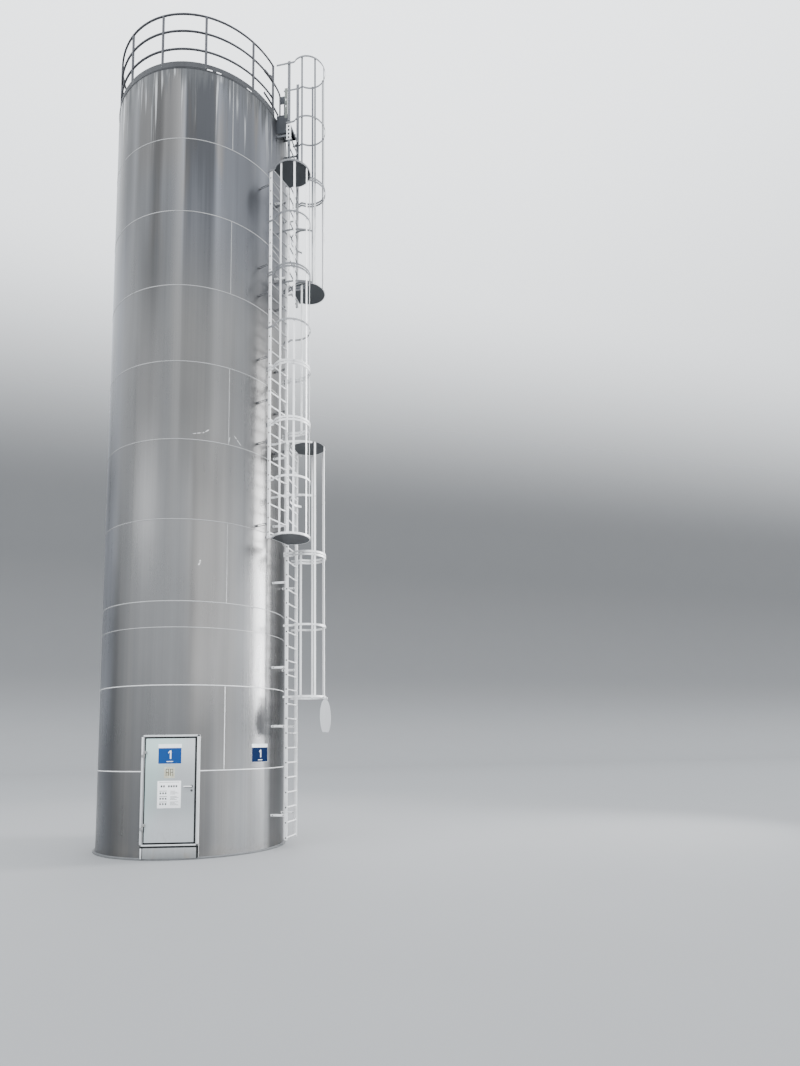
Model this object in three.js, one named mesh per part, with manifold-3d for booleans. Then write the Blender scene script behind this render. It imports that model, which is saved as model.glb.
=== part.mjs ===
// Vertical storage tank: a welded metal silo on a skirt with a man door, an inner
// discharge cone, a guard rail round the roof and a caged ladder in three flights.
// Millimetres, +Z up. The tank is drawn about its own axis, with the door facing -Y,
// and then moved so that the origin is the bottom centre of the whole object's box.
// An azimuth is counted from the door towards +X, in degrees.

import * as THREE from 'three';
import { mergeVertices } from 'three/addons/utils/BufferGeometryUtils.js';
import Module from 'manifold-3d';

const wasm = await Module();
wasm.setup();

// Clearance between pieces that touch
const seat = 0.3;

// Clearance at a hinge, between a barrel and what carries it
const hingeSeat = 0.5;

// How far pieces of one body run into each other, and how far a cutter overshoots
const overlap = 2;
const overshoot = 10;
const farOvershoot = 500;
const mergeDistance = 1e-3;

// Shell
const shellRadius = 1750;
const shellWall = 6;
const shellFacets = 40;
const courseHeight = 1500;
const courseCount = 10;
const shellTop = courseHeight * courseCount;
const flangeHeight = 25;
const flangeInner = 1690;
const flangeOuter = 1795;

// Discharge cone inside the shell
const coneTop = 4030;
const conePitch = 60;
const coneWall = 6;
const coneLip = 40;
const outletRadius = 200;
const outletWall = 8;
const outletFlangeRadius = 260;
const outletFlangeThickness = 16;
const outletLength = 160;

// Roof
const roofRingInner = 1640;
const roofRingOuter = 1757;
const roofRingHeight = 12;
const roofRadius = 1690;
const roofPitch = 11;
const roofWall = 5;
const manholeAzimuth = 75.3;
const manholeOffset = 1000;
const manholeRadius = 300;
const manholeWall = 8;
const manholeHeight = 170;
const manholeFlangeThickness = 14;
const lidRadius = 345;
const lidHeight = 12;
const gripReach = 90;
const gripRise = 45;
const gripRadius = 8;
const gripSteps = 12;
const nozzleRadius = 150;
const nozzleHeight = 210;
const nozzleFlangeRadius = 200;
const nozzleFlangeThickness = 40;

// Guard rail and toe board
const railRadius = 1716;
const postRadius = 24;
const railTubeRadius = 20;
const railHeights = [15440, 15830, 16200];
const postAzimuths = [90, 115, 143.9, 172.7, 201.5, 230.3, 259.2, 288, 316.8, 344, 372.3, 404.8, 424.4];
const railSectionEnds = [0, 3, 6, 9, 12];
const railStep = 9.6;
const toeBoardInner = 1736;
const toeBoardOuter = 1744;
const toeBoardBottom = 15030;
const toeBoardTop = 15145;
const landingReturnAzimuth = 435.1;
const landingReturnRadius = 16;
const landingReturnBend = 45;
const landingReturnSteps = 24;

// Landing plate at the roof edge
const landingGap = 8;
const landingThickness = 6;
const landingSkirt = 60;
const landingSideRise = 85;
const landingNearDrop = 330;
const landingSideThickness = 8;

// Latch post on the near side of the landing, with its plate
const latchPostOuter = 1974;
const latchPostInner = 1914;
const latchPostThickness = 12;
const latchPostTop = 15710;
const latchPlateInner = 1820;
const latchPlateHeights = [15350, 15530];

// Ladder flights
const outerAzimuth = 75.3;
const middleAzimuth = 58.8;
const ladderRadius = 2021;
const ladderWidth = 530;
const stringerThickness = 20;
const stringerDepth = 60;
const rungRadius = 14;
const rungSpacing = 278.5;
const bracketThickness = 12;
const bracketHeight = 50;
const bracketBack = 1690; // past the wall, which cuts the bracket off

// Cages
const hoopRadius = 350;
const hoopCentre = ladderRadius + 330;
const hoopHeight = 40;
const hoopThickness = 6;
const hoopStep = 25;
const hoopBack = 1957;
const topHoopBack = 1742;
const strapWidth = 40;
const strapThickness = 6;
const strapAngles = [-93, -47, 0, 47, 93];
const discThickness = 5;
const discLadderGap = 12;
const discBack = ladderRadius + stringerDepth / 2 + discLadderGap;

// Trapdoor under the lowest cage
const trapRadius = 345;
const trapFlat = 290;
const trapThickness = 4;
const trapBarrelRadius = 8;
const trapBarrelLength = 214;
const trapBarrelGap = 3;
const trapHingeReach = 14;
const trapHingeRadius = hoopCentre + hoopRadius + trapHingeReach;
const trapHingeDrop = 40;
const trapLugThickness = 6;
const trapLugHalf = 10;

// Door
const frameWidth = 980;
const frameBottom = 228;
const frameTop = 2130;
const frameFront = 1762;
const frameBack = 1640;
const frameBar = 52;
const frameStop = 15;
const doorwayDepth = 300;
const leafWidth = 864;
const leafBottom = 281;
const leafTop = 2081;
const leafFront = 1747;
const leafThickness = 45;
const leafGap = 6;
const hingeX = -435;
const hingeRadiusY = 1775;
const knuckleRadius = 10;
const knuckleLength = 60;
const hingeStrapHalf = 4;
const hingeStrapInset = 6;
const leafStrapReach = 34;
const frameStrapReach = 50;
const hingeHeights = [560, 1800];
const leverX = 372;
const leverZ = 1240;
const leverReach = 128;
const leverFront = leafFront + 55;
const leverHalf = 10;
const leverArmFront = 6;
const leverArmBack = 8;
const roseRadius = 26;
const roseThickness = 7;
const leverNeckGap = 0.6;
const plinthFront = 1757;
const plinthInset = 12;

// Signs: width, height, centre height
const doorSign = { width: 400, height: 342, z: 1800 };
const wallSign = { width: 420, height: 335, z: 1790, azimuth: 55 };
const notice = { width: 400, height: 465, z: 1106 };
const signShift = -8;
const signThickness = 3;
const wallSignBed = 2;
const wallSignStep = 3.5;

const degrees = Math.PI / 180;

const colours = {
  shell: [0x9a9ca0, 0.42, 0.85],
  ladder: [0xc9cbce, 0.38, 0.8],
  rail: [0x85878b, 0.5, 0.75],
  door: [0xb9c1bf, 0.45, 0.5],
  dark: [0x45484c, 0.6, 0.5],
  sign: [0x1c4f96, 0.5, 0],
  paper: [0xe8e9ea, 0.7, 0],
};

function materialOf(look) {
  const [color, roughness, metalness] = colours[look];
  return new THREE.MeshStandardMaterial({ color, roughness, metalness });
}

// Merged vertices, faces pointing out
function closed(geometry) {
  const bare = geometry.index ? geometry.clone() : geometry;
  for (const name of ['normal', 'uv']) bare.deleteAttribute(name);
  const merged = mergeVertices(bare, mergeDistance);
  const place = merged.getAttribute('position');
  const corners = [];
  const a = new THREE.Vector3();
  const b = new THREE.Vector3();
  const c = new THREE.Vector3();
  let volume = 0;
  for (let i = 0; i < merged.index.count; i += 3) {
    const [p, q, r] = [0, 1, 2].map((k) => merged.index.getX(i + k));
    if (p === q || q === r || p === r) continue;
    corners.push(p, q, r);
    a.fromBufferAttribute(place, p);
    b.fromBufferAttribute(place, q);
    c.fromBufferAttribute(place, r);
    volume += a.dot(b.cross(c));
  }
  if (volume < 0) {
    for (let i = 0; i < corners.length; i += 3) {
      [corners[i], corners[i + 1]] = [corners[i + 1], corners[i]];
    }
  }
  merged.setIndex(corners);
  return merged;
}

function solid(geometry) {
  const bare = closed(geometry);
  return new wasm.Manifold(new wasm.Mesh({
    numProp: 3,
    vertProperties: new Float32Array(bare.getAttribute('position').array),
    triVerts: new Uint32Array(bare.index.array),
  }));
}

function join(pieces) {
  return pieces.reduce((whole, piece) => whole.add(piece));
}

function geometryOf(body) {
  const mesh = body.getMesh();
  const geometry = new THREE.BufferGeometry();
  geometry.setAttribute('position', new THREE.BufferAttribute(new Float32Array(mesh.vertProperties), 3));
  geometry.setIndex(Array.from(mesh.triVerts));
  return geometry;
}

// A box from its lowest to its highest corner
function block([x0, y0, z0], [x1, y1, z1]) {
  const geometry = new THREE.BoxGeometry(x1 - x0, y1 - y0, z1 - z0);
  return solid(geometry.translate((x0 + x1) / 2, (y0 + y1) / 2, (z0 + z1) / 2));
}

// A closed outline of [radius, height] points turned about the Z axis
function turned(outline, facets = shellFacets) {
  const points = [...outline, outline[0]].map(([r, z]) => new THREE.Vector2(r, z));
  return solid(new THREE.LatheGeometry(points, facets).rotateX(Math.PI / 2));
}

// A round bar between two points
function bar(from, to, radius, sides = 8) {
  const start = new THREE.Vector3(...from);
  const along = new THREE.Vector3(...to).sub(start);
  const geometry = new THREE.CylinderGeometry(radius, radius, along.length(), sides);
  geometry.translate(0, along.length() / 2, 0);
  const turn = new THREE.Quaternion().setFromUnitVectors(new THREE.Vector3(0, 1, 0), along.normalize());
  return solid(geometry.applyQuaternion(turn).translate(...start));
}

// A tube along a path, with a round section
function tube(path, radius, steps, sides = 6) {
  const section = new THREE.Shape();
  section.absarc(0, 0, radius, 0, 2 * Math.PI);
  const geometry = new THREE.ExtrudeGeometry(section, { steps, curveSegments: sides / 2, extrudePath: path });
  return solid(geometry);
}

function outlineShape(points) {
  return new THREE.Shape(points.map(([x, y]) => new THREE.Vector2(x, y)));
}

// A flat plan outline raised between two heights
function raised(points, bottom, top) {
  const geometry = new THREE.ExtrudeGeometry(outlineShape(points), { depth: top - bottom, bevelEnabled: false });
  return solid(geometry.translate(0, 0, bottom));
}

function onCircle(azimuth, radius) {
  return [radius * Math.sin(azimuth * degrees), -radius * Math.cos(azimuth * degrees)];
}

function span(start, end, count) {
  return Array.from({ length: count + 1 }, (_, i) => start + ((end - start) * i) / count);
}

// A curved plate between two azimuths
function sector(start, end, inner, outer, bottom, top, step = railStep) {
  const stops = span(start, end, Math.ceil((end - start) / step));
  const inside = stops.map((azimuth) => onCircle(azimuth, inner));
  const outside = stops.map((azimuth) => onCircle(azimuth, outer));
  return raised([...inside, ...outside.reverse()], bottom, top);
}

class PathThrough extends THREE.CurvePath {
  constructor(points) {
    super();
    const corners = points.map((point) => new THREE.Vector3(...point));
    for (let i = 1; i < corners.length; i++) this.add(new THREE.LineCurve3(corners[i - 1], corners[i]));
  }
}

const tank = new THREE.Group();

function place(name, look, body, azimuth = 0) {
  const mesh = new THREE.Mesh(geometryOf(body), materialOf(look));
  mesh.name = name;
  mesh.rotation.z = azimuth * degrees;
  tank.add(mesh);
  return mesh;
}

// The outside of the shell and its roof ring, as a piece at this azimuth meets them
function wallCutter(azimuth) {
  const wall = shellRadius + seat;
  const ring = roofRingOuter + seat;
  const top = railHeights[2];
  const outline = [[0, 0], [wall, 0], [wall, shellTop], [ring, shellTop], [ring, top], [0, top]];
  return turned(outline).rotate([0, 0, -azimuth]);
}

function shellCourse(index) {
  const bottom = index === 0 ? flangeHeight + seat : index * courseHeight + seat;
  const top = (index + 1) * courseHeight;
  const inner = shellRadius - shellWall;
  return turned([[inner, bottom], [shellRadius, bottom], [shellRadius, top], [inner, top]]);
}

// One side of a course that the door stands in: -1 for the hinge side, 1 for the lock side
function courseBesideDoor(index, side) {
  const reach = shellRadius + overshoot;
  const top = 2 * courseHeight + overshoot;
  const xs = [side * (seat / 2), side * reach].sort((a, b) => a - b);
  const sidePart = block([xs[0], -reach, 0], [xs[1], reach, top]);
  const doorway = frameWidth / 2 + seat;
  const opening = block([-doorway, -reach, -overshoot], [doorway, doorwayDepth - shellRadius, top + overshoot]);
  return shellCourse(index).intersect(sidePart).subtract(opening);
}

function courseOverDoor() {
  const side = frameWidth / 2;
  const front = -shellRadius - overshoot;
  const over = block([-side, front, frameTop + seat], [side, doorwayDepth - shellRadius, 2 * courseHeight]);
  return shellCourse(1).intersect(over);
}

function baseFlange() {
  return turned([[flangeInner, 0], [flangeOuter, 0], [flangeOuter, flangeHeight], [flangeInner, flangeHeight]]);
}

const coneRadius = shellRadius - shellWall - seat;
const coneDrop = (coneRadius - outletRadius) * Math.tan(conePitch * degrees);
const coneBottom = coneTop - coneDrop;

function dischargeCone() {
  const wall = coneWall / Math.sin(conePitch * degrees);
  return turned([
    [outletRadius - wall, coneBottom],
    [outletRadius, coneBottom],
    [coneRadius, coneTop],
    [coneRadius, coneTop + coneLip],
    [coneRadius - coneWall, coneTop + coneLip],
    [coneRadius - wall, coneTop],
  ]);
}

function dischargeOutlet() {
  const top = coneBottom + overlap;
  const bottom = top - outletLength;
  return turned([
    [outletRadius - outletWall, bottom],
    [outletFlangeRadius, bottom],
    [outletFlangeRadius, bottom + outletFlangeThickness],
    [outletRadius, bottom + outletFlangeThickness],
    [outletRadius, top],
    [outletRadius - outletWall, top],
  ]);
}

function roofRing() {
  const bottom = shellTop + seat;
  return turned([
    [roofRingInner, bottom],
    [roofRingOuter, bottom],
    [roofRingOuter, bottom + roofRingHeight],
    [roofRingInner, bottom + roofRingHeight],
  ]);
}

const roofSeat = shellTop + 2 * seat + roofRingHeight;
const roofRise = roofRadius * Math.tan(roofPitch * degrees);

function underRoof(lift) {
  const edge = roofSeat + roofWall + lift;
  const bottom = shellTop - farOvershoot;
  return turned([[0, bottom], [roofRadius, bottom], [roofRadius, edge], [0, edge + roofRise]]);
}

const manholePlace = onCircle(manholeAzimuth, manholeOffset);

function upright(x, y, bottom, top, radius, sides = 24) {
  return bar([x, y, bottom], [x, y, top], radius, sides);
}

function roofCone() {
  const plate = turned([
    [0, roofSeat + roofRise],
    [roofRadius, roofSeat],
    [roofRadius, roofSeat + roofWall],
    [0, roofSeat + roofWall + roofRise],
  ]);
  const inner = manholeRadius - manholeWall;
  const hole = upright(...manholePlace, shellTop - farOvershoot, shellTop + farOvershoot, inner);
  return plate.subtract(hole);
}

const manholeTop = roofSeat + roofRise + manholeHeight;

function manholeNeck() {
  const outside = upright(...manholePlace, shellTop, manholeTop, manholeRadius);
  const flange = upright(...manholePlace, manholeTop - manholeFlangeThickness, manholeTop, lidRadius);
  const inner = manholeRadius - manholeWall;
  const inside = upright(...manholePlace, shellTop - overshoot, manholeTop + overshoot, inner);
  return outside.add(flange).subtract(inside).subtract(underRoof(seat));
}

function manholeLid() {
  const bottom = manholeTop + seat;
  const lid = upright(...manholePlace, bottom, bottom + lidHeight, lidRadius);
  const [x, y] = manholePlace;
  const foot = bottom + lidHeight - overlap;
  const rise = bottom + lidHeight + gripRise;
  const grip = new PathThrough([
    [x - gripReach, y, foot],
    [x - gripReach, y, rise],
    [x + gripReach, y, rise],
    [x + gripReach, y, foot],
  ]);
  return lid.add(tube(grip, gripRadius, gripSteps));
}

function roofNozzle() {
  const top = roofSeat + roofRise + nozzleHeight;
  const neck = upright(0, 0, shellTop, top, nozzleRadius);
  const flange = upright(0, 0, top - nozzleFlangeThickness, top, nozzleFlangeRadius);
  return neck.add(flange).subtract(underRoof(-overlap));
}

function guardPost(azimuth) {
  const [x, y] = onCircle(azimuth, railRadius);
  return upright(x, y, roofSeat, railHeights[2], postRadius, 8);
}

function railArc(start, end, height) {
  const stops = span(start, end, Math.ceil((end - start) / railStep));
  const path = new PathThrough(stops.map((azimuth) => [...onCircle(azimuth, railRadius), height]));
  return tube(path, railTubeRadius, stops.length - 1);
}

const postReach = Math.asin((postRadius + seat) / railRadius) / degrees;

// Posts, rails and toe board from one section end to the next; the shared post belongs
// to the section before
function guardSection(first, last) {
  const own = postAzimuths.slice(first === 0 ? 0 : first + 1, last + 1);
  const start = first === 0 ? postAzimuths[0] : postAzimuths[first] + postReach;
  const end = postAzimuths[last];
  const rails = railHeights.map((height) => railArc(start, end, height));
  const boardEnd = end + Math.asin(postRadius / railRadius) / degrees;
  const board = sector(start, boardEnd, toeBoardInner, toeBoardOuter, toeBoardBottom, toeBoardTop);
  return join([...own.map(guardPost), ...rails, board]);
}

// Past the last post the middle rail runs on over the landing and turns down to it
function landingReturn() {
  const height = railHeights[1];
  const bendReach = landingReturnBend / railRadius / degrees;
  const stops = span(postAzimuths.at(-1), landingReturnAzimuth - bendReach, 2);
  const bend = onCircle(landingReturnAzimuth, railRadius);
  const points = stops.map((azimuth) => [...onCircle(azimuth, railRadius), height]);
  points.push([...bend, height - landingReturnBend], [...bend, roofSeat]);
  return tube(new PathThrough(points), landingReturnRadius, landingReturnSteps);
}

// A plate and skirt between the stringers, two side plates back to the wall, the one on
// the door side deeper, and there the short post that carries the latch plate
function landingPlate() {
  const side = ladderWidth / 2 - stringerThickness / 2 - landingGap;
  const top = roofSeat + overlap;
  const outer = ladderRadius - stringerDepth / 2 - landingThickness;
  const back = shellRadius - landingSkirt;
  const bottom = top - landingNearDrop;
  const plate = block([-side, -outer, top - landingThickness], [side, -back, top]);
  const skirt = block([-side, -outer, top - landingSkirt], [side, -outer + landingThickness, top]);
  const sidePlates = [[-side, bottom], [side - landingSideThickness, top - landingSkirt]].map(([x, low]) => block(
    [x, -outer + 1, low],
    [x + landingSideThickness, -back, top + landingSideRise],
  ));
  const post = block(
    [-side, -latchPostOuter, bottom],
    [-side + latchPostThickness, -latchPostInner, latchPostTop],
  );
  const latch = block(
    [-side, -latchPostInner - overlap, latchPlateHeights[0]],
    [-side + landingSideThickness, -latchPlateInner, latchPlateHeights[1]],
  );
  return join([plate, skirt, ...sidePlates, post, latch]).subtract(wallCutter(outerAzimuth));
}

// Built facing -Y at azimuth 0 and turned to its place
function ladder(azimuth, flight) {
  const { bottom, top, firstRung, rungs, brackets } = flight;
  const half = ladderWidth / 2;
  const sides = [-half, half].map((x) => block(
    [x - stringerThickness / 2, -ladderRadius - stringerDepth / 2, bottom],
    [x + stringerThickness / 2, -ladderRadius + stringerDepth / 2, top],
  ));
  const treads = Array.from({ length: rungs }, (_, i) => {
    const z = firstRung + i * rungSpacing;
    return bar([-half, -ladderRadius, z], [half, -ladderRadius, z], rungRadius, 6);
  });
  const arms = brackets.flatMap((z) => [-half, half].map((x) => block(
    [x - bracketThickness / 2, -ladderRadius + stringerDepth / 2 - 1, z - bracketHeight / 2],
    [x + bracketThickness / 2, -bracketBack, z + bracketHeight / 2],
  )));
  return join([...sides, ...treads, ...arms]).subtract(wallCutter(azimuth));
}

const hoopSide = ladderWidth / 2 + stringerThickness / 2 + seat + hoopThickness / 2;
const hoopSideAngle = 180 - Math.asin(hoopSide / hoopRadius) / degrees;

// Plan points of a hoop's middle line, from angle to angle about its centre; past the
// side angle the hoop runs straight back along the stringer to the given radius
function hoopLine(from, to, backRadius, grow = 0) {
  const points = [];
  const radius = hoopRadius + grow;
  const side = hoopSide + grow;
  const at = (angle) => [radius * Math.sin(angle * degrees), -hoopCentre - radius * Math.cos(angle * degrees)];
  if (from <= -hoopSideAngle) points.push([-side, -backRadius]);
  const start = Math.max(from, -hoopSideAngle);
  const end = Math.min(to, hoopSideAngle);
  span(start, end, Math.ceil((end - start) / hoopStep)).forEach((angle) => points.push(at(angle)));
  if (to >= hoopSideAngle) points.push([side, -backRadius]);
  return points;
}

function hoop({ z, from = -180, to = 180, backRadius = hoopBack }) {
  const inside = hoopLine(from, to, backRadius, -hoopThickness / 2);
  const outside = hoopLine(from, to, backRadius, hoopThickness / 2);
  return raised([...inside, ...outside.reverse()], z - hoopHeight / 2, z + hoopHeight / 2);
}

function strap(angle, bottom, top) {
  const outer = hoopRadius - hoopThickness / 2 + 1;
  const body = block([-strapWidth / 2, -outer, bottom], [strapWidth / 2, -outer + strapThickness, top]);
  return body.rotate([0, 0, angle]).translate([0, -hoopCentre, 0]);
}

function cage({ hoops, straps }) {
  return join([...hoops.map(hoop), ...straps.map(([angle, bottom, top]) => strap(angle, bottom, top))]);
}

// A plate across the cage, with the outline of a hoop and cut straight before the ladder
function disc(bottom) {
  return raised(hoopLine(-180, 180, discBack, hoopThickness / 2), bottom, bottom + discThickness);
}

// Flights, from the ground up
const lowFlight = {
  bottom: 165, top: 7930, firstRung: 203, rungs: 28, brackets: [617, 2285, 3410, 5070, 6200, 7583],
};
const middleFlight = {
  bottom: 5800, top: 13330, firstRung: 5908, rungs: 27,
  brackets: [6075, 7700, 8530, 9412, 10740, 11330, 13030],
};
const highFlight = {
  bottom: 11090, top: 16300, firstRung: 11285, rungs: 14, brackets: [11410, 13080, 14594],
};

const half = hoopHeight / 2;
const towardsMiddle = strapAngles[1] - 3;
const towardsOuter = strapAngles[3] + 3;
const lowHoop = 2840;
const lowTopHoop = 7840;
const middleFloorHoop = 5812;
const middleTopHoop = 13300;
const highFloorHoop = 11202;
const highTopHoop = 16245;

const lowCage = {
  hoops: [
    { z: lowHoop }, { z: 4215 }, { z: 5587 }, { z: 5643 },
    { z: 6755, from: towardsMiddle }, { z: lowTopHoop, from: towardsMiddle },
  ],
  straps: [
    [strapAngles[0], lowHoop - half, 5643 + half],
    ...strapAngles.slice(1).map((angle) => [angle, lowHoop - half, lowTopHoop + half]),
  ],
};
const middleCage = {
  hoops: [
    { z: middleFloorHoop, to: towardsOuter }, { z: 6908, to: towardsOuter }, { z: 7997 }, { z: 8053 },
    { z: 9118 }, { z: 9173 }, { z: 9995 }, { z: 11074 }, { z: 11130 },
    { z: 12220, to: towardsOuter }, { z: middleTopHoop, to: towardsOuter },
  ],
  straps: [
    [strapAngles[4], 7997 - half, 11130 + half],
    ...strapAngles.slice(0, 4).map((angle) => [angle, middleFloorHoop - half, middleTopHoop + half]),
  ],
};
const highCage = {
  hoops: [
    { z: highFloorHoop, from: towardsMiddle }, { z: 12320, from: towardsMiddle }, { z: 13428 }, { z: 13484 },
    { z: 14870 }, { z: highTopHoop, backRadius: topHoopBack },
  ],
  straps: [
    [strapAngles[0], 13428 - half, highTopHoop + half],
    ...strapAngles.slice(1).map((angle) => [angle, highFloorHoop - half, highTopHoop + half]),
  ],
};

const trapHingeZ = lowHoop - trapHingeDrop;

// Two lugs on the lowest hoop, either side of the trapdoor's barrel
function trapLugs() {
  const inner = trapBarrelLength / 2 + hingeSeat;
  return [-1, 1].map((side) => {
    const xs = [side * inner, side * (inner + trapLugThickness)].sort((a, b) => a - b);
    const front = -trapHingeRadius - trapLugHalf;
    const back = -trapHingeRadius + trapBarrelRadius;
    const hoopSeat = -hoopCentre - hoopRadius * Math.cos(Math.asin(inner / hoopRadius)) + strapThickness;
    const drop = block([xs[0], front, trapHingeZ - trapLugHalf], [xs[1], back, lowHoop]);
    const reach = block([xs[0], front, lowHoop - 2 * trapLugHalf], [xs[1], hoopSeat, lowHoop]);
    return drop.add(reach);
  });
}

// Hanging open below its hinge, in the plane along the wall
function trapdoor() {
  const reach = 180 - Math.acos(trapFlat / trapRadius) / degrees;
  const points = span(-reach, reach, 20).map((angle) => [
    trapRadius * Math.sin(angle * degrees),
    trapRadius * Math.cos(angle * degrees),
  ]);
  const geometry = new THREE.ExtrudeGeometry(outlineShape(points), { depth: trapThickness, bevelEnabled: false });
  geometry.rotateX(Math.PI / 2);
  geometry.translate(0, -trapHingeRadius + trapThickness / 2, trapHingeZ - trapRadius - trapBarrelGap);
  const y = -trapHingeRadius;
  const barrel = bar([-trapBarrelLength / 2, y, trapHingeZ], [trapBarrelLength / 2, y, trapHingeZ], trapBarrelRadius);
  return solid(geometry).add(barrel);
}

function doorFrame() {
  const w = frameWidth / 2;
  const hole = w - frameBar;
  const stop = hole - frameStop;
  const stopFront = leafFront - leafThickness - leafGap;
  const outside = block([-w, -frameFront, frameBottom], [w, -frameBack, frameTop]);
  const front = block(
    [-hole, -frameFront - overshoot, leafBottom - leafGap],
    [hole, -stopFront, leafTop + leafGap],
  );
  const back = block(
    [-stop, -stopFront - overshoot, leafBottom - leafGap + frameStop],
    [stop, -frameBack + overshoot, leafTop + leafGap - frameStop],
  );
  return outside.subtract(front).subtract(back);
}

// The panel under the sill, with side returns back to the shell
function plinthPanel() {
  const w = frameWidth / 2 - plinthInset;
  const bottom = flangeHeight + seat;
  const panel = block([-w, -plinthFront, bottom], [w, -frameBack, frameBottom + overlap]);
  const inside = block(
    [-w + plinthInset, -plinthFront + plinthInset, 0],
    [w - plinthInset, -frameBack + overshoot, frameBottom - plinthInset],
  );
  return panel.subtract(inside);
}

function doorLeaf() {
  const w = leafWidth / 2;
  const leaf = block([-w, -leafFront, leafBottom], [w, -leafFront + leafThickness, leafTop]);
  const knuckles = hingeHeights.flatMap((z) => [
    upright(hingeX, -hingeRadiusY, z + hingeSeat, z + knuckleLength, knuckleRadius, 12),
    block(
      [hingeX + hingeStrapHalf, -hingeRadiusY - hingeStrapHalf, z + hingeStrapInset + overlap],
      [hingeX + leafStrapReach, -leafFront + hingeStrapHalf, z + knuckleLength - hingeStrapInset],
    ),
  ]);
  return join([leaf, ...knuckles]);
}

// The fixed half of a hinge: a barrel and the strap that carries it on the frame
function frameHinge(z) {
  const barrel = upright(hingeX, -hingeRadiusY, z - knuckleLength, z, knuckleRadius, 12);
  const strapPlate = block(
    [hingeX - frameStrapReach, -hingeRadiusY - hingeStrapHalf, z - knuckleLength + hingeStrapInset],
    [hingeX - overlap, -frameFront - seat, z - hingeStrapInset],
  );
  return barrel.add(strapPlate);
}

function leverRose() {
  return bar([leverX, -leafFront - seat, leverZ], [leverX, -leafFront - roseThickness, leverZ], roseRadius, 16);
}

function lever() {
  const neckBack = -leafFront - roseThickness - leverNeckGap;
  const neck = bar([leverX, neckBack, leverZ], [leverX, -leverFront, leverZ], leverHalf, 12);
  const arm = block(
    [leverX - leverReach, -leverFront - leverArmFront, leverZ - leverHalf],
    [leverX + leverHalf, -leverFront + leverArmBack, leverZ + leverHalf],
  );
  return neck.add(arm);
}

function flatSign({ width, height, z }, front) {
  return block(
    [signShift - width / 2, -front - signThickness, z - height / 2],
    [signShift + width / 2, -front, z + height / 2],
  );
}

// Bent to the wall
function curvedSign({ width, height, z, azimuth }) {
  const reach = width / 2 / shellRadius / degrees;
  const outer = shellRadius + signThickness + wallSignBed;
  const inner = shellRadius - overshoot;
  const plate = sector(-reach, reach, inner, outer, z - height / 2, z + height / 2, wallSignStep);
  return plate.subtract(wallCutter(azimuth));
}

place('base_flange', 'shell', baseFlange());
place('skirt_hinge_side', 'shell', courseBesideDoor(0, -1));
place('skirt_lock_side', 'shell', courseBesideDoor(0, 1));
place('shell_course_02_hinge_side', 'shell', courseBesideDoor(1, -1));
place('shell_course_02_lock_side', 'shell', courseBesideDoor(1, 1));
place('shell_course_02_over_door', 'shell', courseOverDoor());
for (let i = 2; i < courseCount; i++) {
  place(`shell_course_${String(i + 1).padStart(2, '0')}`, 'shell', shellCourse(i));
}
place('discharge_cone', 'shell', dischargeCone().add(dischargeOutlet()));
place('roof_ring', 'rail', roofRing());
place('roof_cone', 'shell', roofCone().add(roofNozzle()));
place('manhole_neck', 'shell', manholeNeck());
place('manhole_lid', 'shell', manholeLid());

const sectionCount = railSectionEnds.length - 1;
for (let i = 1; i <= sectionCount; i++) {
  const section = guardSection(railSectionEnds[i - 1], railSectionEnds[i]);
  place(`guard_rail_${i}`, 'rail', i === sectionCount ? section.add(landingReturn()) : section);
}
place('landing_plate', 'dark', landingPlate(), outerAzimuth);

place('ladder_low', 'ladder', ladder(outerAzimuth, lowFlight), outerAzimuth);
place('ladder_middle', 'ladder', ladder(middleAzimuth, middleFlight), middleAzimuth);
place('ladder_high', 'ladder', ladder(outerAzimuth, highFlight), outerAzimuth);
place('cage_low', 'ladder', join([cage(lowCage), ...trapLugs()]), outerAzimuth);
place('cage_middle', 'ladder', cage(middleCage), middleAzimuth);
place('cage_high', 'ladder', cage(highCage), outerAzimuth);
place('cage_low_top_plate', 'ladder', disc(lowTopHoop + half + seat), outerAzimuth);
place('cage_middle_floor_plate', 'ladder', disc(middleFloorHoop - half - seat - discThickness), middleAzimuth);
place('cage_middle_top_plate', 'ladder', disc(middleTopHoop + half + seat), middleAzimuth);
place('cage_high_floor_plate', 'ladder', disc(highFloorHoop - half - seat - discThickness), outerAzimuth);
place('cage_trapdoor', 'ladder', trapdoor(), outerAzimuth);

place('door_frame', 'shell', doorFrame().add(plinthPanel()));
place('door_leaf', 'door', doorLeaf());
hingeHeights.forEach((z, i) => place(`door_hinge_${i + 1}`, 'shell', frameHinge(z)));
place('lever_rose', 'dark', leverRose());
place('door_lever', 'ladder', lever());
place('door_sign', 'sign', flatSign(doorSign, leafFront + seat));
place('notice_sheet', 'paper', flatSign(notice, leafFront + seat));
place('wall_sign', 'sign', curvedSign(wallSign), wallSign.azimuth);

// The origin is the bottom centre of the whole object's box
tank.updateMatrixWorld(true);
const bounds = new THREE.Box3().setFromObject(tank, true);
tank.position.set(-(bounds.min.x + bounds.max.x) / 2, -(bounds.min.y + bounds.max.y) / 2, -bounds.min.z);

const model = new THREE.Group();
model.add(tank);

export default model;
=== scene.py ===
# Looks of a vertical storage tank. Metres, +Z up, the door faces -Y.
# Pieces are drawn about the tank's own axis and moved onto it at the end. An azimuth
# is counted from the door towards +X, in degrees.
import bpy
import bmesh
import math
from mathutils import Matrix, Vector, noise


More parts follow.
